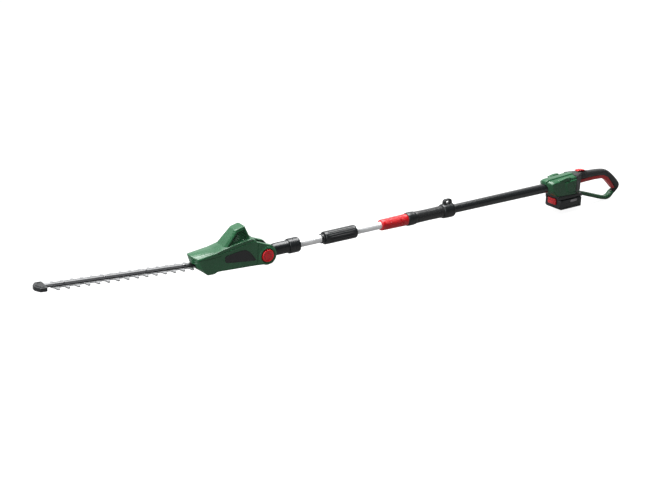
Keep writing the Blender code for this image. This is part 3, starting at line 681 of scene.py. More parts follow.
LOUVRE_OPEN = 0.0017
LOUVRE_END = 0.0024
BADGE_OUTLINE = [(-0.1346, 0.0134), (-0.1320, -0.0030), (-0.1095, -0.0056), (-0.0368, -0.0088),
                 (-0.0436, 0.0011), (-0.0525, 0.0119), (-0.0633, 0.0221), (-0.0761, 0.0265),
                 (-0.1000, 0.0225), (-0.1267, 0.0165)]


def body_outline(share):
    """Side outline of the head's body at a share of its half width."""
    drop = share ** 2
    nose = -0.2290 + 0.0150 * drop
    return [(nose, 0.0230 - 0.0090 * drop), (-0.1560, 0.0310 - 0.0035 * drop),
            (-0.1310, 0.0400 - 0.0045 * drop), (-0.0520, 0.0570 - 0.0035 * drop),
            (-0.0380, 0.0520 - 0.0045 * drop), (-0.0305, 0.0300), (-0.0305, -0.0250),
            (-0.1530, -0.0270), (-0.1640, -0.0325), (-0.1840, -0.0330), (nose + 0.0120, -0.0120)]


def body_shape(side, wall=0.0):
    """Half of the head's body, or the hollow inside its wall."""
    sections = []
    for share in (0.0, 0.3, 0.55, 0.75, 0.95):
        outline = inset(body_outline(share), wall)
        y = (HEAD_HALF - wall) * share if share else -PAST_MIDDLE
        sections.append([(x, y * side, z) for x, z in rounded(outline, 0.0030, 3)])
    rim = inset(body_outline(1.0), wall + 0.0014)
    sections.append([(x, (HEAD_HALF - wall) * side, z) for x, z in rounded(rim, 0.0030, 3)])
    return loft(sections)


def hump_shape(side, wall=0.0):
    """Motor hump: level sections with the corners cut off, and a top that rises to the rear."""
    sections = []
    for z, front, rear, half, rise in HUMP_LEVELS:
        cut_front, cut_rear = HUMP_CORNERS
        y = half - wall
        x_front = front + wall
        x_rear = rear - wall
        past = -PAST_MIDDLE - 0.2 * wall
        level = z - wall if z > HUMP_SHOULDER else z
        plan = [(x_front, past), (x_front, y - cut_front), (x_front + cut_front, y), (x_rear - cut_rear, y),
                (x_rear, y - cut_rear), (x_rear, past)]
        sections.append([(x, along * side, level + rise * (x - HUMP_MIDDLE)) for x, along in plan])
    return loft(sections)


def leaning(bm, side):
    """The shape sheared so that planes across y lie along the hump's side."""
    for vertex in bm.verts:
        vertex.co.y -= HUMP_LEAN * (vertex.co.z - HUMP_FOOT) * side
    return bm


def ear_shape(side):
    """Round ear of the casing beside the tilt knuckle."""
    outline = arc((0.0, 0.0), EAR_RADIUS, -64, 50, 24) + [(0.0120, 0.0288), (-0.0010, 0.0322),
                                                           (-0.0340, 0.0430), (-0.0340, -0.0250)]
    return slab(outline, *across(KNUCKLE_ROOM, HEAD_HALF, side), 0.0014)


def knob_ring(side):
    """Raised ring of the casing around the tilt button."""
    ring = [(0.0280, 0.0188), (0.0322, 0.0190), (0.0340, 0.0212), (0.0346, 0.0230), (0.0342, 0.0252),
            (0.0316, 0.0276), (0.0280, 0.0278)]
    return revolve([(y * side, r) for y, r in rounded(ring, 0.0006, 3)], 96, "y")


def head_half():
    """Right half of the head's casing, before its halves get their own details."""
    side = -1
    shell = fuse("head_casing_right",
                 [body_shape(side), hump_shape(side), ear_shape(side), knob_ring(side)],
                 HEAD, 0.00075, 2)
    split_at_middle(shell, HEAD, side)
    pocket = leaning(slab(rounded(VENT_PANEL, 0.0030, 4), *across(0.0400, 0.0256, side)), side)
    carve(shell, [pocket, body_shape(side, HEAD_WALL), hump_shape(side, HUMP_WALL)], HEAD)
    slots = []
    levelled = [(x, z - VENT_SLOPE * (x - VENT_MIDDLE)) for x, z in VENT_PANEL]
    for row in range(LOUVRES):
        low = LOUVRE_FROM + LOUVRE_PITCH * row
        front, rear = span_at(levelled, low + 0.0008)
        ends = (front + LOUVRE_END, rear - LOUVRE_END)
        slot = [(x, low + VENT_SLOPE * (x - VENT_MIDDLE)) for x in ends]
        slot += [(x, z + LOUVRE_OPEN) for x, z in reversed(slot)]
        slots.append(slab(slot, *across(0.0130, 0.0400, side)))
    rooms = [rod(-0.0040 * side, KNUCKLE_ROOM * side, 0.0303, axis="y")]
    pockets = [rod(0.0245 * side, 0.0400 * side, 0.0190, axis="y"),
               box(-0.240, -0.180, *across(-0.005, 0.0190, side), -0.0160, -0.0012, 0.0010)]
    # groove in front of the ear, line under the deck, stepped lower edge, ledge beside the deck
    past = HEAD_HALF + 0.0050
    grooves = [strip([(-0.0316, 0.0460), (-0.0318, 0.0200), (-0.0318, -0.0300)], 0.0007,
                     *across(HEAD_HALF - 0.0012, past, side)),
               strip([(-0.2140, 0.0105), (-0.1585, 0.0150), (-0.1430, 0.0180)], 0.0005,
                     *across(HEAD_HALF - 0.0010, past, side)),
               slab([(-0.2000, -0.0450), (-0.0335, -0.0450), (-0.0335, -0.0195), (-0.2000, -0.0240)],
                    *across(HEAD_HALF - 0.0016, past, side)),
               slab([(-0.1540, 0.0206), (-0.0330, 0.0492), (-0.0330, 0.0660), (-0.1600, 0.0400)],
                    *across(HEAD_HALF - 0.0019, past, side))]
    for group in (slots, rooms, pockets):
        carve_all(shell, group, HEAD)
    return carve(shell, grooves, HEAD)


head_right = head_half()
head_left = mirrored(head_right, "head_casing_left")
HEAD_SCREWS = [(-0.1985, 0.0020), (-0.1480, -0.0110), (-0.1450, 0.0175), (-0.0425, 0.0330),
               (-0.0620, -0.0145)]
carve_all(head_left, casing_screws("head_screw", HEAD_SCREWS, HEAD_HALF, 0.0030, HEAD, "head"), HEAD)
dress(head_right, "head", GREEN, "green_plastic", "head_shell_right")
dress(head_left, "head", GREEN, "green_plastic", "head_shell_left")


def badge(side_name, side):
    """Blank black panel with a fine raised frame."""
    outline = rounded(BADGE_OUTLINE, 0.0035, 4)
    levels = ((-0.0010, 0.0), (0.0009, 0.0), (0.0013, 0.0004), (0.0013, 0.0011), (0.0009, 0.0015))
    sections = [[(x, (HEAD_HALF + lift) * side, z) for x, z in inset(outline, shrink)]
                for lift, shrink in levels]
    made = as_object(f"side_panel_{side_name}", loft(sections), HEAD)
    return dress(made, "head", BADGE, "black_plastic", f"side_badge_{side_name}")


def tilt_button(side_name, side):
    """Round button with a rolled rim, a shallow dish and a raised centre."""
    profile = [(0.0296, 0.0), (0.0296, 0.0181), (0.0350, 0.0181), (0.0364, 0.0174), (0.0370, 0.0158),
               (0.0366, 0.0140), (0.0357, 0.0130), (0.0354, 0.0110), (0.0354, 0.0082), (0.0360, 0.0074),
               (0.0362, 0.0040), (0.0362, 0.0)]
    turned = [(y * side, r) for y, r in rounded(profile, 0.0007, 3, closed=False)]
    made = as_object(f"tilt_knob_{side_name}", revolve(turned, 96, "y"), HEAD)
    button = f"tilt_button_{side_name}"
    return dress(made, button, RED, "red_plastic", button)


def tilt_spring(side_name, side):
    """Compression spring under the tilt button, built as one fixed coil; the real spring flattens towards
    its seat as the button goes in.
    """
    wire = 0.0004
    radius = 0.0085
    seat = 0.0252
    length = 0.0034
    turns = 3
    per_turn = 32
    rings = []
    for step in range(turns * per_turn + 1):
        turn = TAU * step / per_turn
        out = Vector((math.cos(turn), 0.0, math.sin(turn)))
        centre = out * radius + Vector((0.0, seat + length * step / (turns * per_turn), 0.0))
        ring = []
        for point in range(10):
            lean = TAU * point / 10
            spot = centre + out * (wire * math.cos(lean)) + Vector((0.0, wire * math.sin(lean), 0.0))
            ring.append((spot.x, spot.y * side, spot.z))
        rings.append(ring)
    made = as_object(f"tilt_spring_{side_name}_coil", loft(rings), HEAD)
    dress(made, "head", SCREW_STEEL, "steel", f"tilt_spring_{side_name}")
    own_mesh(made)
    return made


for make_pair in (badge, tilt_button, tilt_spring):
    for side_name, side in SIDES:
        make_pair(side_name, side)


# ---- Cutting bar -------------------------------------------------------------------------
BLADE_TIP = 0.604
BLADE_FROM = 0.214
TEETH = 15
BLADE_CORE = 0.014
TOOTH_REACH = 0.030
GEAR_X = 0.118
SCREWS_X = (0.240, 0.350, 0.460, 0.570)
YOKE_WINDOW = (0.0298, 0.0216)
STROKE = 0.008
# y past which the guide bar's top gets bright steel: a painted reflection
PAINTED_SHEEN_FROM = 0.0010
BLADE_THICK = 0.0020
GROUND_BACK = 0.0006
GROUND_IN = 0.0004
BOLT_HOLE = 0.0031


def blade_edge():
    """Toothed outline with ground gullets, as (x, y) points."""
    pitch = (BLADE_TIP - BLADE_FROM) / TEETH
    side = []
    radii = []
    for tooth in range(TEETH):
        centre = -BLADE_TIP + pitch * (tooth + 0.5)
        side += [(centre - 0.0070, BLADE_CORE), (centre - 0.0026, TOOTH_REACH),
                 (centre + 0.0030, TOOTH_REACH), (centre + 0.0062, BLADE_CORE)]
        radii += [0.0030, 0.0012, 0.0012, 0.0030]
    side += [(-0.158, BLADE_CORE), (-0.152, 0.0262), (-0.081, 0.0262)]
    radii += [0.003, 0.002, 0.003]
    whole = [(-BLADE_TIP, 0.008)] + side
    radii = [0.001] + radii
    return rounded(whole + flipped(whole), radii + radii[::-1], 3)


def blade(name, node, z_low, body):
    """Punched bar; the face that meets the other blade stays flat and the other is ground back."""
    outline = blade_edge()
    if node == "upper_blade":
        levels = ((0.0, 0.0), (BLADE_THICK - GROUND_BACK, 0.0), (BLADE_THICK, GROUND_IN))
    else:
        levels = ((0.0, GROUND_IN), (GROUND_BACK, 0.0), (BLADE_THICK, 0.0))
    sections = [[(x, y, z_low + lift) for x, y in inset(outline, shrink)] for lift, shrink in levels]
    made = as_object(name, loft(sections), HEAD, 20.0)
    half_x, half_y = YOKE_WINDOW
    slots = [box(-GEAR_X - half_x, -GEAR_X + half_x, -half_y, half_y, -0.020, 0.0)]
    slots += [slab(slot_outline(-x, 0.0, STROKE, BOLT_HOLE), -0.020, 0.0, axis="z") for x in SCREWS_X]
    carve_all(made, slots, HEAD)
    return dress(made, body, BLADE_STEEL, "blade_steel", node)


blade("shear_blade_upper", "upper_blade", -0.0097, "upper_blade")
blade("shear_blade_lower", "lower_blade", -0.0120, "lower_blade")


def guide_rail():
    """Stamped guide bar with soft edges, two long grooves and the bolts' holes."""
    half = 0.013
    outline = [(-0.623, -0.0105), (-0.618, -half), (-0.1475, -half), (-0.1475, half), (-0.618, half),
               (-0.623, 0.0105)]
    made = as_object("guide_bar", slab(outline, -0.0074, -0.0044, 0.0007, "z"), HEAD)
    grooves = [slab(rounded([(-0.600, y - 0.0014), (-0.225, y - 0.0014), (-0.225, y + 0.0014),
                             (-0.600, y + 0.0014)], 0.0013, 4), -0.0052, -0.0030, axis="z")
               for y in (-0.0078, 0.0078)]
    holes = [moved(rod(-0.012, 0.002, BOLT_HOLE, 40, "z"), -x) for x in SCREWS_X]
    carve_all(made, grooves + holes, HEAD)
    dress(made, "head", DARK_STEEL, "dark_steel", "blade_rail")
    # the far half of the top gets bright blade steel: a painted reflection of the bright room behind
    split = bmesh.new()
    split.from_mesh(made.data)
    bmesh.ops.bisect_plane(split, geom=split.verts[:] + split.edges[:] + split.faces[:], dist=1e-7,
                           plane_co=(0.0, PAINTED_SHEEN_FROM, 0.0), plane_no=(0.0, 1.0, 0.0))
    split.to_mesh(made.data)
    split.free()
    made.data.materials.append(BLADE_STEEL)
    for face in made.data.polygons:
        if face.center.y > PAINTED_SHEEN_FROM and face.normal.dot(HEAD_UP) > 0.5:
            face.material_index = 1
    return made


guide_rail()


def hexagon(along, turn, r):
    """Ripple that gives the socket in a bolt's top six sides."""
    return 0.10 * r * math.cos(6 * turn) if r < 0.0025 and along > -0.0036 else 0.0


BOLT_PROFILE = [(-0.0145, 0.0), (-0.0145, 0.0043), (-0.0140, 0.0047), (-0.0123, 0.0047), (-0.0123, 0.0028),
                (-0.0041, 0.0028), (-0.0041, 0.0047), (-0.0028, 0.0047), (-0.0019, 0.0041),
                (-0.0019, 0.0024), (-0.0034, 0.0022), (-0.0034, 0.0)]
for number, screw_x in enumerate(SCREWS_X, 1):
    bolt = moved(revolve(rounded(BOLT_PROFILE, 0.0002, 2, closed=False), 72, "z", hexagon), -screw_x)
    dress(as_object(f"blade_bolt_{number}", bolt, HEAD), "head", SCREW_STEEL, "steel",
          f"blade_screw_{number}")


def tip_guard():
    """Plastic nose guard that spans the last teeth, with a raised arrow-shaped rib."""
    near = [(-0.6450, -0.0060), (-0.6425, -0.0120), (-0.6340, -0.0245), (-0.6170, -0.0245),
            (-0.6160, -0.0165)]
    outline = rounded(near + flipped(near), 0.0022, 4)
    arrow = [(-0.6300, -0.0190), (-0.6215, -0.0190), (-0.6225, -0.0172), (-0.6285, -0.0168)]
    rib = rounded([(-0.6405, 0.0)] + arrow + [(-0.6370, 0.0)] + flipped(arrow), 0.0008, 3)
    made = fuse("bar_tip_guard", [slab(outline, -0.0135, -0.0025, 0.0016, "z", 4),
                                  slab(rib, -0.0060, -0.0008, 0.0004, "z")], HEAD, 0.0005, 1)
    carve(made, [box(-0.6236, -0.600, -0.0133, 0.0133, -0.0077, -0.0041)], HEAD)
    return dress(made, "head", BLACK, "black_plastic", "tip_guard")


tip_guard()


# ---- Tilt knuckle and socket -------------------------------------------------------------
PIVOT_STATION = (PIVOT - POLE.translation).x
KNUCKLE_PLACE = POLE @ Matrix.Translation((PIVOT_STATION, 0.0, 0.0))


def knuckle():
    """Disc with locking notches round its middle, running back into a round stem."""
    def notches(along, turn, r):
        return -0.0012 if r > 0.0225 and abs(along) < 0.0075 and math.cos(16 * turn) > 0.35 else 0.0

    disc = [(-0.0162, 0.0), (-0.0162, 0.0236), (-0.0156, 0.0240), (-0.0080, 0.0240), (-0.0074, 0.0238),
            (0.0074, 0.0238), (0.0080, 0.0240), (0.0156, 0.0240), (0.0162, 0.0236), (0.0162, 0.0)]
    stem = revolve(rounded([(0.0050, 0.0), (0.0050, 0.0136), (0.0500, 0.0136), (0.0500, 0.0)], 0.0005, 2,
                           closed=False), 96)
    web = slab([(0.0120, -0.0205), (0.0310, -0.0150), (0.0310, 0.0150), (0.0120, 0.0205)], -0.0090, 0.0090,
               0.0015)
    made = fuse("tilt_knuckle", [revolve(disc, 192, "y", notches), stem, web], KNUCKLE_PLACE, 0.0006, 2)
    carve(made, [rod(-0.030, 0.030, 0.0053, 48, "y")], KNUCKLE_PLACE)
    return dress(made, "front_pole", BLACK, "black_plastic", "pivot_knuckle")


knuckle()


def socket_half(name, node, up):
    """Half of the clamp behind the joint, with long ribs and a flat flank."""
    sections = []
    for x, r in ((0.6770, 0.0150), (0.6785, 0.0165), (0.6810, 0.0173), (0.6850, 0.0177), (0.7000, 0.0180),
                 (0.7568, 0.0180), (0.7570, 0.0178)):
        section = []
        for step in range(49):
            turn = math.pi * step / 48
            flat = 0.0011 * max(0.0, math.cos(2 * turn) - 0.25) if x > 0.679 else 0.0
            crest = 0.0006 * max(0.0, math.cos(4 * turn)) if x > 0.684 else 0.0
            radius = r - flat + crest * (math.sin(turn) > 0.6)
            section.append((x, radius * math.cos(turn), up * (radius * math.sin(turn) + SEAM)))
        section += [(x, y, up * (z + SEAM)) for y, z in arc((0.0, 0.0), 0.0113, 180, 0, 24)]
        sections.append(section)
    made = as_object(name, loft(sections), POLE)
    carve(made, [rod(0.670, 0.6985, 0.0139, 64)], POLE)
    carve_all(made, [box(0.7040, 0.7225, *across(0.0172, 0.0210, side), 0.0030 * up, 0.0045 * up)
                     for side in (-1, 1)], POLE)
    return dress(made, "front_pole", BLACK, "black_plastic", node)


socket_half("joint_socket_upper", "socket_shell_upper", 1)
socket_half("joint_socket_lower", "socket_shell_lower", -1)
ring_piece("joint_socket_ring", [(0.7280, 0.0184), (0.7280, 0.0200), (0.7300, 0.0213), (0.7330, 0.0220),
                                 (0.7415, 0.0220), (0.7425, 0.0214), (0.7440, 0.0214), (0.7450, 0.0220),
                                 (0.7590, 0.0220), (0.7620, 0.0212), (0.7630, 0.0195), (0.7630, 0.0113),
                                 (0.7600, 0.0113), (0.7575, 0.0184)], "front_pole", BLACK, "black_plastic",
           "socket_collar")

# ---- Tubes and couplings -----------------------------------------------------------------
for tube_name, node in (("slim_tube_front", "front_tube"), ("slim_tube_inner", "inner_tube")):
    start, end = station_span(node)
    ring_piece(tube_name, [(start, 0.0098), (start, 0.0107), (start + 0.0003, 0.0110),
                           (end - 0.0003, 0.0110), (end, 0.0107), (end, 0.0098), (end - 0.0003, 0.0095),
                           (start + 0.0003, 0.0095)], "front_pole", ALUMINIUM, "tube_aluminium", node,
               0.0001, 128)

ring_piece("coupling_rim", [(0.8395, 0.0113), (0.8395, 0.0130), (0.8402, 0.0138), (0.8440, 0.0138),
                            (0.8446, 0.0131), (0.8462, 0.0131), (0.8468, 0.0138), (0.8498, 0.0138),
                            (0.8505, 0.0132), (0.8505, 0.0113)], "front_pole", BLACK, "black_plastic",
           "coupling_collar", 0.0003)


def nut_flutes(along, turn, r):
    """Eighteen grip grooves that fade out towards both ends of the nut."""
    if r < 0.0175 or not 0.8590 < along < 0.9515:
        return 0.0
    fade = min(1.0, (along - 0.8590) / 0.004, (0.9515 - along) / 0.004)
    return -0.0011 * fade * max(0.0, math.cos(18 * turn)) ** 2


NUT_OUTSIDE = [(0.8508, 0.0160), (0.8508, 0.0180), (0.8516, 0.0188), (0.8535, 0.0192), (0.8575, 0.0194)]
NUT_OUTSIDE += [(0.8590 + 0.0025 * step, 0.0195 + 0.00001 * step) for step in range(38)]
NUT_OUTSIDE += [(0.9540, 0.0200), (0.9585, 0.0198), (0.9600, 0.0190), (0.9606, 0.0176), (0.9606, 0.0116),
                (0.9575, 0.0116), (0.9570, 0.0165), (0.8550, 0.0165), (0.8545, 0.0116), (0.8508, 0.0116)]
dress(as_object("screw_coupling", revolve(NUT_OUTSIDE, 288, "x", nut_flutes), POLE), "coupling_nut",
      BLACK, "black_plastic", "coupling_nut")


def collar_ribs(along, turn, r):
    """Fine grip ribs round the rear half of the telescope collar."""
    if r < 0.0150 or not 1.0640 < along < 1.1400:
        return 0.0
    fade = min(1.0, (along - 1.0640) / 0.004, (1.1400 - along) / 0.004)
    return -0.0006 * fade * max(0.0, math.cos(24 * turn)) ** 3


COLLAR_OUTSIDE = [(1.0538, 0.0114), (1.0538, 0.0144), (1.0542, 0.0152), (1.0552, 0.0160), (1.0570, 0.0166),
                  (1.0600, 0.0168)]
COLLAR_OUTSIDE += [(1.0640 + 0.0025 * step, 0.01695 + 0.000035 * step) for step in range(31)]
COLLAR_OUTSIDE += [(1.1430, 0.0181), (1.1470, 0.0183), (1.1498, 0.0182), (1.1507, 0.0176), (1.1507, 0.0140),
                   (1.0562, 0.0140), (1.0562, 0.0114)]
dress(as_object("telescope_clamp", revolve(COLLAR_OUTSIDE, 288, "x", collar_ribs), POLE),
      "telescope_collar", RED, "red_plastic", "telescope_collar")

ring_piece("grip_rim", [(1.1510, 0.0139), (1.1510, 0.0180), (1.1520, 0.0196), (1.1540, 0.0206),
                        (1.1590, 0.0211), (1.1700, 0.0212), (1.1712, 0.0205), (1.1726, 0.0205),
                        (1.1738, 0.0209), (1.1800, 0.0204), (1.1835, 0.0196), (1.1850, 0.0186),
                        (1.1850, 0.0139)], "handle", BLACK, "black_plastic", "grip_flange", 0.0004)
ring_piece("front_grip_sleeve", [(1.1853, 0.0139), (1.1853, 0.0176), (1.1862, 0.0182), (1.1890, 0.0186),
                                 (1.2020, 0.0184), (1.2350, 0.0181), (1.2650, 0.0184), (1.2830, 0.0189),
                                 (1.2875, 0.0189), (1.2892, 0.0183), (1.2897, 0.0175), (1.2897, 0.0139)],
           "handle", RUBBER_SMOOTH, "soft_grip", "front_grip", 0.0008)
outer_start, outer_end = station_span("outer_tube")
ring_piece("main_tube", [(outer_start, 0.0123), (outer_start, 0.0134), (outer_start + 0.0004, 0.0136),
                         (1.3345, 0.0136), (1.3350, 0.0140), (1.7600, 0.0161), (outer_end - 0.0004, 0.0161),
                         (outer_end, 0.0158), (outer_end, 0.0123)], "handle", TUBE_BLACK, "black_tube",
           "outer_tube", 0.0001, 128)


def strap_ring():
    """Collar behind the grip with an eyelet lug on top."""
    ring = revolve(rounded([(1.2900, 0.0150), (1.2900, 0.0192), (1.2912, 0.0212), (1.2940, 0.0226),
                            (1.2990, 0.0230), (1.3120, 0.0233), (1.3250, 0.0236), (1.3305, 0.0228),
                            (1.3332, 0.0208), (1.3340, 0.0190), (1.3340, 0.0150)], 0.0006, 3), 128)
    lug = slab(rounded([(1.2950, 0.0170), (1.2972, 0.0340), (1.3030, 0.0378), (1.3220, 0.0378),
                        (1.3278, 0.0340), (1.3310, 0.0170)], 0.0035, 5), -0.0052, 0.0052, 0.0016)
    made = fuse("strap_collar", [ring, lug], POLE, 0.0006, 2)
    bore = rod(1.2700, 1.3500, 0.0139)
    grooves = [revolve([(x, 0.0226), (x + 0.0008, 0.0226), (x + 0.0008, 0.0260), (x, 0.0260)], 128)
               for x in (1.3000, 1.3240)]
    carve_all(made, [slab(slot_outline(1.3125, 0.0290, 0.0048, 0.0042), -0.0100, 0.0100), bore], POLE)
    carve_all(made, grooves, POLE)
    return dress(made, "handle", BLACK, "black_plastic", "strap_ring")


strap_ring()

# ---- Rear housing ------------------------------------------------------------------------
# lower bar and soft grip: matching points on the inside and the outside of the loop
BAR_SPANS = (((1.8800, -0.0290), (1.8780, -0.0430)), ((1.8920, -0.0330), (1.8890, -0.0452)),
             ((1.9350, -0.0460), (1.9320, -0.0602)), ((1.9720, -0.0580), (1.9690, -0.0722)),
             ((2.0090, -0.0700), (2.0065, -0.0845)), ((2.0360, -0.0770), (2.0380, -0.0915)),
             ((2.0500, -0.0740), (2.0560, -0.0892)), ((2.0590, -0.0670), (2.0680, -0.0806)),
             ((2.0640, -0.0620), (2.0755, -0.0735)))
GRIP_SPANS = (((1.8560, 0.0050), (1.8560, 0.0366)), ((1.8900, 0.0040), (1.8900, 0.0362)),
              ((1.9380, 0.0042), (1.9380, 0.0302)), ((1.9690, 0.0044), (1.9700, 0.0284)),
              ((1.9950, 0.0026), (2.0000, 0.0258)), ((2.0120, 0.0008), (2.0220, 0.0215)),
              ((2.0250, -0.0052), (2.0400, 0.0130)), ((2.0370, -0.0112), (2.0530, 0.0036)),
              ((2.0510, -0.0255), (2.0690, -0.0090)), ((2.0690, -0.0430), (2.0900, -0.0285)),
              ((2.0770, -0.0510), (2.0998, -0.0430)), ((2.0775, -0.0560), (2.0960, -0.0560)),
              ((2.0705, -0.0605), (2.0862, -0.0655)), ((2.0630, -0.0640), (2.0770, -0.0735)))
LOOP_HALF = 0.012
# (distance from the middle, drop of the top, rear end, rise of the bottom, front at the top and below)
HOUSING_KEYS = ((-0.0030, 0.0, 1.8930, 0.0, 1.7300, 1.7300),
                (0.0100, 0.0003, 1.8930, 0.0, 1.7310, 1.7320),
                (0.0122, 0.0040, 1.8930, 0.0, 1.7340, 1.7350),
                (0.0225, 0.0062, 1.8720, 0.0010, 1.7400, 1.7440),
                (0.0285, 0.0085, 1.8590, 0.0090, 1.7420, 1.7480),
                (0.0302, 0.0105, 1.8560, 0.0124, 1.7440, 1.7500))
HOUSING_HALF = 0.0300


def housing_outline(drop, rear, rise, front_top, front_low):
    """Side outline of the rear housing at one distance from its middle."""
    return [(front_top, 0.0262 - drop), (front_top + 0.0110, 0.0304 - drop), (1.8480, 0.0362 - drop),
            (rear, 0.0345 - drop), (rear, 0.0020), (rear + 0.0020, -0.0330 + 0.5 * rise),
            (min(rear, 1.8860), -0.0440 + rise), (1.7950, -0.0430 + rise), (1.7760, -0.0330 + 0.5 * rise),
            (front_low + 0.0110, -0.0140), (front_low, -0.0060)]


def housing_shape(side, wall=0.0):
    """Half of the rear housing, or the hollow inside its wall."""
    sections = []
    for y, *shape in HOUSING_KEYS:
        outline = housing_outline(*shape)
        reach = y
        if wall:
            outline = inset(outline, wall)
            reach = y - wall if y > 0 else 1.2 * y
        sections.append([(x, reach * side, z) for x, z in rounded(outline, 0.0025, 3)])
    return loft(sections)


def swept(spans, half, bulge=2.6, around=40, between=5):
    """Solid along matching inside and outside points, with a rounded cross section."""
    def blended(points):
        smooth = []
        for index in range(len(points) - 1):
            a = Vector(points[max(0, index - 1)])
            b = Vector(points[index])
            c = Vector(points[index + 1])
            d = Vector(points[min(len(points) - 1, index + 2)])
            for step in range(between):
                t = step / between
                smooth.append(0.5 * (2 * b + (c - a) * t + (2 * a - 5 * b + 4 * c - d) * t ** 2
                                     + (3 * b - a - 3 * c + d) * t ** 3))
        return smooth + [Vector(points[-1])]

    sections = []
    for inner, outer in zip(blended([span[0] for span in spans]), blended([span[1] for span in spans])):
        centre = (inner + outer) / 2
        reach = (outer - inner) / 2
        section = []
        for step in range(around):
            turn = TAU * step / around
            across = math.copysign(abs(math.cos(turn)) ** (2 / bulge), math.cos(turn))
            wide = math.copysign(abs(math.sin(turn)) ** (2 / bulge), math.sin(turn))
            spot = centre + reach * across
            section.append((spot.x, half * wide, spot.y))
        sections.append(section)
    return loft(sections)


# raised panel on the housing's side: its foot, and its face behind a broad front slope
PANEL_FOOT = [(1.7965, 0.0185), (1.8540, 0.0230), (1.8540, -0.0265), (1.8290, -0.0262), (1.8140, -0.0205),
              (1.8045, -0.0080)]
PANEL_FACE = [(1.8035, 0.0145), (1.8500, 0.0190), (1.8500, -0.0190), (1.8335, -0.0190), (1.8195, -0.0150),
              (1.8105, -0.0065)]


def housing_half():
    """Right half of the rear housing with its half of the lower bar and its raised lines."""
    side = -1
    ridges = [loft([[(x, y * side, z) for x, z in outline] for y, outline in
                    ((0.0240, PANEL_FOOT), (0.0297, PANEL_FOOT), (0.0350, PANEL_FACE))]),
              strip([(1.7610, 0.0160), (1.7665, 0.0040), (1.7780, -0.0150)], 0.0010,
                    *across(0.0270, HOUSING_HALF + 0.0012, side)),
              slab([(1.7760, 0.0270), (1.8020, 0.0320), (1.8210, 0.0320), (1.8190, 0.0250),
                    (1.7790, 0.0235)], *across(0.0200, HOUSING_HALF + 0.0022, side), 0.0022, "y", 4)]
    shell = fuse("housing_right", [housing_shape(side), swept(BAR_SPANS, LOOP_HALF)] + ridges, POLE,
                 0.0008, 2)
    gap = strip([(1.8185, 0.0420), (1.8300, 0.0200)], 0.0018,
                *across(HOUSING_HALF + 0.0045, HOUSING_HALF - 0.0080, side))
    seam = strip([(1.8300, 0.0200), (1.8340, 0.0110), (1.8480, -0.0080), (1.8490, -0.0220)], 0.0005,
                 *across(HOUSING_HALF - 0.0010, HOUSING_HALF + 0.0060, side))
    return carve(shell, [box(1.700, 2.200, *across(-SEAM, -0.060, side), -0.200, 0.200),
                         housing_shape(side, 0.0026), rod(1.700, 1.802, 0.0165), gap, seam,
                         trigger_channel(side),
                         box(1.7600, 1.8730, *across(-0.004, 0.0225, side), -0.0500, -0.0380)], POLE)


TRIGGER_BACK = [(2.0780, -0.0530), (2.0392, -0.0088), (2.0135, 0.0036), (1.9700, 0.0060),
                (1.8940, 0.0050), (1.8900, 0.0070), (1.8790, 0.0070)]
TRIGGER_FACE = [(1.8790, -0.0030), (1.8980, -0.0076), (1.9300, -0.0066), (1.9700, -0.0060),
                (2.0120, -0.0084), (2.0310, -0.0196), (2.0700, -0.0560)]
TRIGGER_ROOM = [(2.0790, -0.0600), (2.0855, -0.0440), (2.0455, 0.0015), (2.0150, 0.0112),
                (1.9700, 0.0112), (1.8760, 0.0110), (1.8760, -0.0070)]
TRIGGER_HALF = 0.0078


def trigger_channel(side=0):
    """Room that the trigger moves in; side 0 gives both halves."""
    half = TRIGGER_HALF + 0.0006
    limits = across(-0.0040, half, side) if side else (-half, half)
    return slab(TRIGGER_FACE[1:] + TRIGGER_ROOM, *limits)


housing_right = housing_half()
housing_left = mirrored(housing_right, "housing_left")
HOUSING_SCREWS = [(1.7560, 0.0060), (1.8030, -0.0090), (1.8440, 0.0080), (1.7960, 0.0235)]
BAR_SCREWS = [(1.9350, -0.0535), (2.0350, -0.0845)]
for screw_name, spots, y_face, depth in (("housing_screw", HOUSING_SCREWS, HOUSING_HALF, 0.0030),
                                         ("bar_screw", BAR_SCREWS, LOOP_HALF, 0.0022)):
    carve_all(housing_left, casing_screws(screw_name, spots, y_face, depth, POLE, "handle"), POLE)
dress(housing_right, "handle", GREEN, "green_plastic", "rear_housing_right")
dress(housing_left, "handle", GREEN, "green_plastic", "rear_housing_left")


def loop_grip():
    """Soft overmould of the loop: the bar over the trigger and the cap round the housing's rear end. Below
    the bar, the cap is painted shade: a black sheet down the housing's rear face.
    """
    # the cap's part below the grip bar stands for the shadow on the housing's rear face: painted shade
    rear_cap_and_shade_sections = []
    for y, top, rear in ((0.0306, 0.0272, 1.8575), (0.0290, 0.0300, 1.8605), (0.0230, 0.0330, 1.8740),
                         (0.0125, 0.0345, 1.8955), (0.0090, 0.0353, 1.8965)):
        points = [(1.8530, -0.0275), (1.8530, top), (rear, top - 0.0012), (rear, -0.0275)]
        rear_cap_and_shade_sections.append([(x, y, z) for x, z in rounded(points, 0.0015, 3)])
    rear_cap_and_shade = loft(rear_cap_and_shade_sections + [[(x, -y, z) for x, y, z in section] for section in reversed(rear_cap_and_shade_sections)])
    made = fuse("loop_overmould", [swept(GRIP_SPANS, LOOP_HALF), rear_cap_and_shade], POLE, 0.0008, 3)
    carve(made, [trigger_channel()], POLE)
    return dress(made, "handle", RUBBER, "soft_grip", "handle_grip")


loop_grip()


def battery_shoe():
    """Black guide under the housing that the battery slides on."""
    outline = [(1.7745, -0.0312), (1.7800, -0.0290), (1.8860, -0.0345), (1.8890, -0.0390),
               (1.8890, -0.0448), (1.7760, -0.0448)]
    made = as_object("battery_shoe", slab(rounded(outline, 0.0015, 3), -0.0318, 0.0318, 0.0022), POLE)
    carve(made, [box(1.7600, 1.8730, -0.0225, 0.0225, -0.0500, -0.0380)], POLE)
    return dress(made, "handle", BLACK, "black_plastic")


battery_shoe()


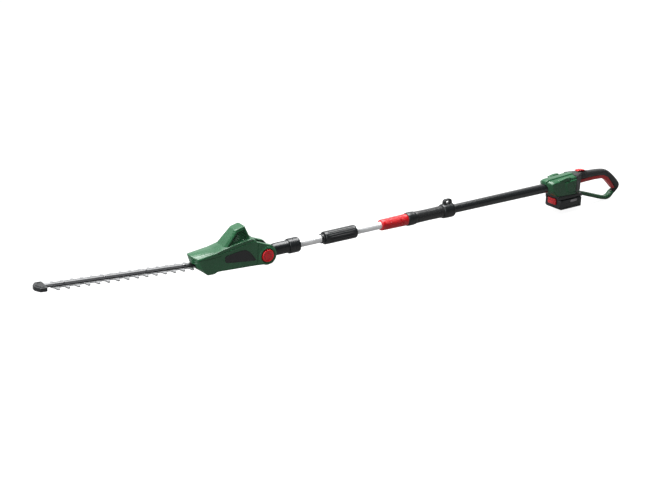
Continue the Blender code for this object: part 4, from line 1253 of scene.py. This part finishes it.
def trigger_lever():
    """Long lever along the inside of the loop."""
    outline = rounded(TRIGGER_BACK + TRIGGER_FACE, [0.003, 0.006, 0.006, 0.006, 0.001, 0.003, 0.003,
                                                    0.003, 0.004, 0.004, 0.008, 0.008, 0.006, 0.003], 4)
    made = as_object("trigger_lever", slab(outline, -TRIGGER_HALF, TRIGGER_HALF, 0.0009, "y", 4), POLE)
    return dress(made, "trigger", RED, "red_plastic", "trigger")


trigger_lever()


def lock_slider():
    """Thumb slider with three grip steps."""
    outline = [(1.8830, 0.0367), (1.8838, 0.0392), (1.8865, 0.0404), (1.8925, 0.0407), (1.8937, 0.0397),
               (1.8960, 0.0396), (1.8972, 0.0406), (1.9005, 0.0404), (1.9017, 0.0394), (1.9040, 0.0391),
               (1.9052, 0.0399), (1.9110, 0.0388), (1.9185, 0.0362), (1.9230, 0.0331), (1.8960, 0.0366)]
    made = as_object("lock_slider", slab(rounded(outline, 0.0006, 3), -0.0080, 0.0080, 0.0012), POLE)
    return dress(made, "lock_off_slider", RED, "red_plastic", "lock_off_slider")


lock_slider()

# ---- Battery -----------------------------------------------------------------------------
BATTERY = (1.780, 1.884)
BATTERY_HALF = 0.035
BATTERY_Z = (-0.0790, -0.0580, -0.0453)


def battery_tray(name, node, upper):
    """Half of the battery's case: hollow, with a flat recess in each side."""
    bottom, split, top = BATTERY_Z
    front, rear = BATTERY
    half = BATTERY_HALF
    plan = rounded([(front, -half), (rear, -half), (rear, half), (front, half)], 0.0045, 5)
    if upper:
        levels = [(split + 0.0003, 0.0), (top - 0.0020, 0.0), (top - 0.0006, 0.0006), (top, 0.0022)]
        sections = [[(x, y, z) for x, y in inset(plan, shrink)] for z, shrink in levels]
        made = as_object(name, loft(sections), POLE)
        room = box(front + 0.0025, rear - 0.0020, -0.0330, 0.0330, -0.0680, top - 0.0020)
    else:
        sections = []
        for z, shrink, lead in ((bottom, 0.0026, 0.0080), (bottom + 0.0008, 0.0010, 0.0068),
                                (bottom + 0.0030, 0.0, 0.0050), (bottom + 0.0080, 0.0, 0.0),
                                (split, 0.0, 0.0)):
            sections.append([(x + lead * max(0.0, 1 - (x - front) / 0.030), y, z)
                             for x, y in inset(plan, shrink)])
        made = as_object(name, loft(sections), POLE)
        room = box(front + 0.0024, rear - 0.0020, -0.0330, 0.0330, bottom + 0.0018, -0.0480)
    carve(made, [room], POLE)
    cuts = [box(1.7700, 1.7838, -0.0182, 0.0182, -0.0632, -0.0300, 0.0)]
    for side in (1, -1):
        if upper:
            cuts.append(box(1.8240, 1.8700, *across(0.0343, 0.0400, side), -0.0573, -0.0475, 0.0))
        else:
            cuts.append(box(1.7960, 1.8700, *across(0.0343, 0.0400, side), -0.0700, -0.0630, 0.0))
            cuts.append(box(1.7960, 1.8760, *across(0.0341, 0.0400, side), -0.0725, -0.0717, 0.0))
    carve_all(made, cuts, POLE)
    if upper:
        rails = fuse("battery_rails", [box(1.7850, 1.8720, -0.0215, 0.0215, top - 0.0010, -0.0385, 0.0006)],
                     POLE, 0.0006, 1)
        dress(rails, "battery", BLACK, "black_plastic")
    return dress(made, "battery", BLACK, "black_plastic", node)


battery_tray("battery_shell_upper", "battery_case_upper", True)
battery_tray("battery_shell_lower", "battery_case_lower", False)
for side_name, side in SIDES:
    patch = rounded([(1.8290, -0.0565), (1.8580, -0.0565), (1.8600, -0.0485), (1.8310, -0.0485)], 0.0012, 3)
    label = slab(patch, *across(0.0340, 0.0346, side), 0.0001)
    dress(as_object(f"battery_label_{side_name}", label, POLE), "battery", LABEL, "black_plastic")

button_outline = [(1.7745, -0.0440), (1.7757, -0.0418), (1.7805, -0.0414), (1.7805, -0.0625),
                  (1.7768, -0.0625), (1.7745, -0.0592)]
for row in range(3):
    level = -0.0570 + 0.0042 * row
    button_outline += [(1.7745, level), (1.7752, level + 0.0008), (1.7752, level + 0.0018),
                       (1.7745, level + 0.0026)]
button = as_object("battery_release",
                   slab(rounded(button_outline, 0.0003, 2), -0.0178, 0.0178, 0.0010), POLE)
dress(button, "battery_button", RED, "red_plastic", "battery_button")

# ---- Inner parts kept from the CAD model -------------------------------------------------
for slot_material, inner_nodes in (
        (SCREW_STEEL, ("motor_can", "drive_gear", "motor_pinion", "gear_axle", "pivot_shaft",
                       "trigger_spring")),
        (CAST, ("gear_housing", "gearbox_base", "tube_clamp")),
        (COPPER, ("motor_armature",)),
        (BLACK, ("cooling_fan", "coupling_socket", "guide_bush", "clamp_collet", "switch_module",
                 "battery_terminals", "coiled_lead")),
        (BOARD, ("control_board",)),
        (CELL, tuple(f"battery_cell_{number}" for number in range(1, 6)))):
    for node in inner_nodes:
        for slot in frame["nodes"][node].material_slots:
            slot.material = slot_material
